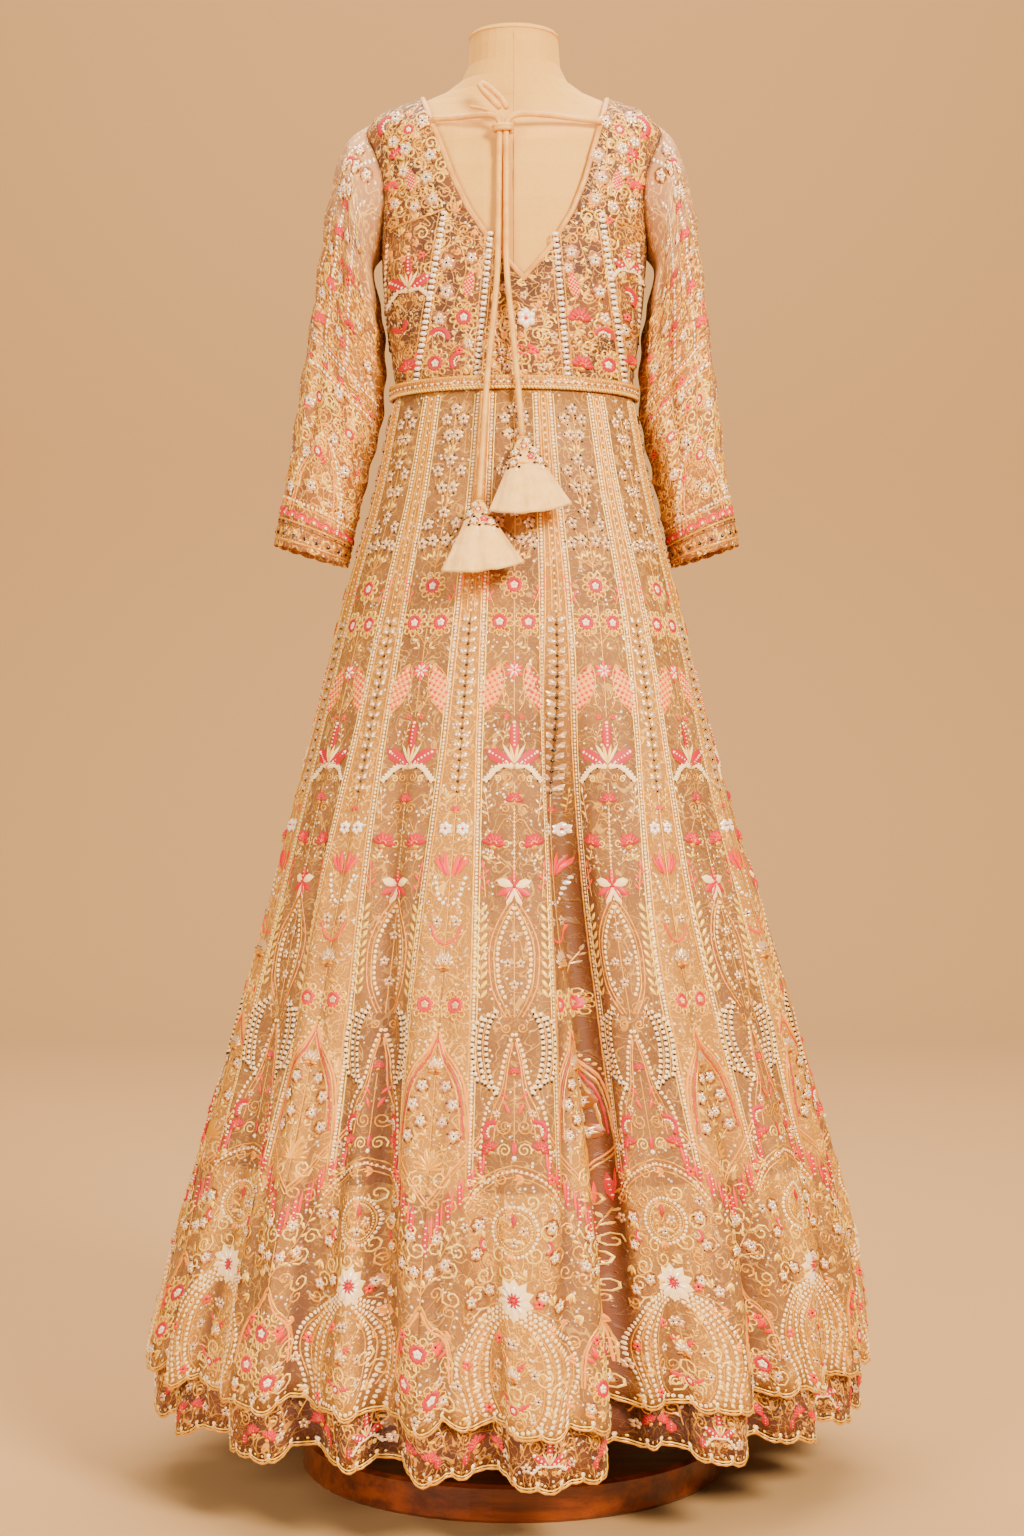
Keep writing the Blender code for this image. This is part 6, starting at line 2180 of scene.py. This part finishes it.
def make_piping():
    """The neckline's bound edge, a soft roll of satin."""
    loop = [yoke_neck_edge(1.0 - t, -1) for t in np.linspace(0.0, 1.0, 40)[:-1]]
    corner = [neck_x(YOKE_NECK, side) for side in (-1, 1)]
    loop += [neck_corner(x) for x in np.linspace(corner[0], CENTRE_SHIFT, 30)[:-1]]
    loop += [neck_corner(x) for x in np.linspace(CENTRE_SHIFT, corner[1], 30)[:-1]]
    loop += [yoke_neck_edge(t, 1) for t in np.linspace(0.0, 1.0, 40)]
    front = [front_neck_edge(1.0 - 0.5 * t) for t in np.linspace(0.0, 1.0, 40)[1:]]
    loop += front + [(360.0 - t, z) for t, z in reversed(front)]
    loop = np.array(loop)
    edge = bodice.by_turn(loop[:, 0], loop[:, 1])
    along = np.roll(edge, -1, axis=0) - np.roll(edge, 1, axis=0)
    out = bodice.by_turn(loop[:, 0], loop[:, 1], 0.001) - edge
    inwards = np.cross(out, along)
    inwards /= np.linalg.norm(inwards, axis=1, keepdims=True) + 1e-12
    out /= np.linalg.norm(out, axis=1, keepdims=True)
    if np.sum(inwards * (edge.mean(axis=0) + (0.0, 0.0, 0.04) - edge)) < 0:
        inwards = -inwards
    rings = []
    for turn in np.linspace(0.0, 2 * np.pi, 13)[:-1]:
        rings.append(
            edge + inwards * (0.0026 + 0.003 * math.cos(turn)) + out * (0.0014 * math.sin(turn) - 0.0002)
        )
    grid = np.array(rings + [rings[0]])
    rows, columns, _ = grid.shape
    number = np.arange(rows * columns).reshape(rows, columns)
    after = np.roll(number, -1, axis=1)
    faces = np.stack([number[:-1], after[:-1], after[1:], number[1:]], axis=-1).reshape(-1, 4)
    piece = make_piece("neckline_piping", grid.reshape(-1, 3), faces, materials=[piping_satin])
    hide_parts("neck_piping")


def make_band():
    """The braid over the waist seam, worked with plaited cords and beads."""
    loop, along, _ = skirt_ring(WAIST - BAND_DROP, -0.0052)
    height = WAIST - BAND_DROP + np.linspace(BAND_RISE + BAND_DROP, 0.0, 5)
    wanted = np.linspace(0.0, along[-1], 721)
    closed = np.concatenate([loop, loop[:1]])
    ring = np.stack([np.interp(wanted, along, closed[:, k]) for k in range(3)], axis=1)
    outer = np.repeat(ring[None], 5, axis=0)
    outer[..., 2] = height[:, None]
    swell = np.array([0.0, 0.001, 0.0014, 0.001, 0.0])[:, None, None]
    way = ring * (1.0, 1.0, 0.0)
    way /= np.linalg.norm(way, axis=1, keepdims=True)
    outer = outer - way[None] * (0.0014 - swell)
    inner = outer - way[None] * 0.0026
    u, v = np.meshgrid(wanted, height)
    piece = hang("waist_braid", outer, inner, gold_braid, "waist_band", {"flat": (u, v)})
    surface = Cloth(outer[:, :-1], closed=True)
    if np.sum(surface.normal * outer[:, :-1] * (1.0, 1.0, 0.0)) < 0:
        surface.normal = -surface.normal
    work = Stitching()
    length = float(along[-1])
    centres = np.arange(0.0, length, 0.0042)
    for z, turn in ((0.0118, 52), (0.0042, 128)):
        rows = np.stack(
            [centres, np.full(len(centres), z), *np.tile([[0.0034], [0.006], [turn]], len(centres))],
            axis=1,
        )
        work.petals(rows, "gold" if z > 0.01 else "pale_gold", 0.0016)
    work.beads(np.stack([centres[::2], np.full(len(centres[::2]), 0.008)], axis=1), 0.0017, "pearl")
    work.beads(np.stack([centres[1::2], np.full(len(centres[1::2]), 0.008)], axis=1), 0.0012, "deep_gold")

    def place(x, z, lift):
        return surface.at(x / length * 720, 4.0 - z / (BAND_RISE + BAND_DROP) * 4.0, lift)

    trim = work.on_cloth("waist_braid_beads", place)
    declare_sheet(outer)


# How far down into a fold the skirt's embroidery is kept, in the units of Skirt.hollow
STITCHED_TO = 2.1


def make_skirts():
    """The skirt's panels and the longer under-skirt inside it."""
    chart = panel_chart(skirt.half_panel)
    hem_half = float(skirt.half_panel(HEM))
    chart.take(hem_chart(hem_half, HEM + 0.0015, 0.028, 0.0055))
    across = np.linspace(-1.0, 1.0, 53)
    share = np.linspace(0.0, 1.0, 52) ** 0.9
    for panel in range(KALIS):
        z = (WAIST - 0.003) + (HEM - WAIST + 0.003) * share[:, None] + 0.0 * across[None]
        half = skirt.half_panel(z)
        scallop = np.abs(np.sin(np.pi * (across + 1.0) * 4.0)) ** 0.7
        z = z + smooth_step(share, 0.96, 1.0)[:, None] * (0.0035 - 0.006 * scallop)[None]
        x = across[None] * (half - 0.5 * GAP)
        outer = skirt.place(panel, x, z, 0.0 * x)
        inner = skirt.place(panel, x, z, 0.0 * x - 0.0013)
        low = across_table(LOW_HALF, z) - np.abs(x)
        high = np.abs(x) - across_table(TREE_HALF, z)
        zone = np.where(z < 0.383, low, high)
        name = f"kali_{panel + 1:02d}"
        # The zone layout's second channel is the fold depth, from which the net's finish paints shade into
        # the folds.
        layouts = {"flat": (x + 0.31 * panel, z), "zone": (zone, skirt.hollow(panel, x, z))}
        cloth = hang(name + "_net", outer, inner, skirt_net, name, layouts)

        def place(x, z, lift, panel=panel):
            return skirt.place(panel, x, z, lift)

        def seen(x, z, panel=panel):
            return skirt.hollow(panel, x, z) < STITCHED_TO

        stitched = chart.on_cloth(name + "_embroidery", place, seen)
        declare_sheet(outer)
    half = float(under.half_panel(UNDER_HEM))
    border = under_chart(half)
    border.take(hem_chart(half, UNDER_HEM + 0.002, 0.024, 0.005))
    across = np.linspace(-1.0, 1.0, 97)
    share = np.concatenate([np.linspace(0.0, 0.72, 10), np.linspace(0.76, 1.0, 15)])
    for panel in range(UNDER_PANELS):
        z = UNDER_HANG + (UNDER_HEM - UNDER_HANG) * share[:, None] + 0.0 * across[None]
        scallop = np.abs(np.sin(np.pi * (across + 1.0) * round(half / 0.024)))
        z = z + smooth_step(share, 0.97, 1.0)[:, None] * (0.0045 - 0.008 * scallop**0.7)[None]
        x = across[None] * (under.half_panel(z) - GAP)
        outer = under.place(panel, x, z, 0.0 * x)
        inner = under.place(panel, x, z, 0.0 * x - 0.0011)
        name = f"under_skirt_{panel + 1:02d}"
        # The zone layout's second channel is the fold depth, from which the net's finish paints shade into
        # the folds.
        layouts = {"flat": (x + 0.47 * panel, z), "zone": (0.0 * x, under.hollow(panel, x, z))}
        cloth = hang(name + "_net", outer, inner, under_net, name, layouts)

        def place(x, z, lift, panel=panel):
            return under.place(panel, x, z, lift)

        stitched = border.on_cloth(name + "_embroidery", place)
        declare_sheet(outer)


def make_sleeves():
    for side, word in ((-1, "left"), (1, "right")):
        sleeve = Sleeve(side, bodice)
        angle = np.linspace(0.0, 96.0, 97)
        top = 112.5
        for part, rows, finish in (
            ("sleeve", np.linspace(0.0, top - 0.1, 64), sleeve_net),
            ("cuff", np.linspace(top, 120.0, 9), cuff_net),
        ):
            column, row = np.meshgrid(angle, rows)
            if part == "cuff":
                scallop = 0.5 * np.abs(np.sin(column * np.pi / 6.0)) - 0.5
                row = row + smooth_step(row, 117.0, 120.0) * scallop
            outer = sleeve.at(column, row, sleeve.crease(column, row))
            inner = sleeve.at(column, row, sleeve.crease(column, row) - 0.0009)
            flat = {"flat": (column / 96.0 * 0.3, -row / 120.0 * sleeve.length)}
            cloth = hang(f"{part}_{word}_net", outer, inner, finish, f"{part}_{word}", flat)
            if part == "sleeve":
                sleeve_cloth, sleeve_grid = cloth, outer
            else:
                cuff_cloth, cuff_grid = cloth, outer
        for back, face in ((True, "back"), (False, "front")):
            work = Stitching()
            stitch_sleeve(work, sleeve.length)

            def place(x, z, lift, back=back, sleeve=sleeve):
                return sleeve.place(back, x, z, lift)

            work.on_cloth(f"sleeve_{word}_{face}_embroidery", place)
        declare_sheet(sleeve_grid)
        declare_sheet(cuff_grid)


def make_form_seams():
    """The linen's seam up the middle of the back and front, and the rolled rim at the neck's top."""
    for turn, name in ((0.0, "form_back_seam"), (180.0, "form_front_seam")):
        heights = np.arange(1.0, 1.69, 0.006)
        path = form_surface(np.full(len(heights), turn), heights)
        tube(name, path, 0.0007, [form_linen], 6)
    turn = np.radians(np.arange(0.0, 361.0, 5.0))
    rim = np.stack([0.0522 * np.cos(turn), 0.0522 * np.sin(turn), np.full(len(turn), 1.6905)], axis=1)
    tube("form_neck_rim", rim, 0.0016, [form_linen], 8)


def dress_nodes(names, material):
    for name in names:
        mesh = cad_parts[name].data
        mesh.materials.clear()
        mesh.materials.append(material)


make_camera()
make_stage()
thread_materials = thread_finishes()
NET_COLUMNS = ("ground", "shaded", "golden", "filigree", "dots")
NETS = {
    "skirt_net": ((148, 104, 66), (116, 76, 44), (192, 138, 74), (242, 190, 120), (255, 236, 208)),
    "under_net": ((104, 58, 32), (56, 26, 12), (146, 90, 50), (222, 162, 100), (255, 232, 204)),
    "bodice_net": ((106, 62, 30), (60, 30, 14), (146, 92, 42), (238, 184, 114), (255, 236, 208)),
    "sleeve_net": ((164, 108, 64), (126, 76, 42), (180, 122, 70), (240, 190, 126), (255, 240, 218)),
    "cuff_net": ((160, 102, 52), (120, 70, 34), (184, 126, 66), (240, 188, 116), (255, 236, 206)),
}
nets = {name: dict(zip(NET_COLUMNS, colours)) for name, colours in NETS.items()}
# The skirt and under-skirt nets get painted shade in their folds.
skirt_net = net_finish("skirt_net", **nets["skirt_net"], zoned=True, paint_fold_shade=True)
under_net = net_finish("under_net", **nets["under_net"], alpha=0.85, paint_fold_shade=True)
bodice_net = net_finish("bodice_net", **nets["bodice_net"])
sleeve_net = net_finish("sleeve_net", **nets["sleeve_net"], alpha=0.88, sheer=-0.1)
cuff_net = net_finish("cuff_net", **nets["cuff_net"], alpha=0.92)
cord_satin = satin_finish("cord_satin", (224, 176, 116), (190, 136, 80))
piping_satin = satin_finish("piping_satin", (216, 162, 106), (180, 124, 74))
tassel_cloth = tassel_finish()
form_linen = form_finish()
gold_braid = braid_finish()

cords = make_cords(cord_satin)
make_knot(cord_satin)
LEFT_TRIMS = (
    (-0.004, 0.1, 0.005), (-0.0105, 0.24, 0.0058), (0.011, 0.24, 0.0058), (-0.005, 0.38, 0.005),
    (0.014, 0.4, 0.0052),
)
RIGHT_TRIMS = (
    (0.004, 0.1, 0.005), (-0.011, 0.26, 0.0058), (0.0115, 0.25, 0.0058), (-0.014, 0.42, 0.005),
    (0.016, 0.4, 0.0052),
)
for (word, top, foot, lean), trims in zip(TASSELS, (LEFT_TRIMS, RIGHT_TRIMS)):
    tassel, trim = make_tassel(word, top, foot, lean, tassel_cloth, trims)

skirt = Skirt(WAIST, 0.13, lambda z: 0.0, KALIS, 120, 0.0115, 0.013)
under = Skirt(UNDER_HANG, 0.078, under_inset, UNDER_PANELS, 240, 0.005, 0.02)
bodice = Bodice()
panels = make_bodice()
make_piping()
make_band()
make_skirts()
make_sleeves()

back_work = Stitching()
stitch_back(back_work)
stitch_yokes(back_work)
front_work = Stitching()
stitch_front(front_work)


def on_back(x, z, lift):
    return bodice.place(1, x, z, lift)


def on_chest(x, z, lift):
    return bodice.place(-1, x, z, lift)


worked = [back_work.on_cloth("back_embroidery", on_back), front_work.on_cloth("front_embroidery", on_chest)]
for piece, grid in panels:
    declare_sheet(grid)

make_form_seams()
dress_nodes(["dress_form"], form_linen)
dress_nodes(["base_disc"], walnut_finish())
dress_nodes(["pole"], steel_finish())
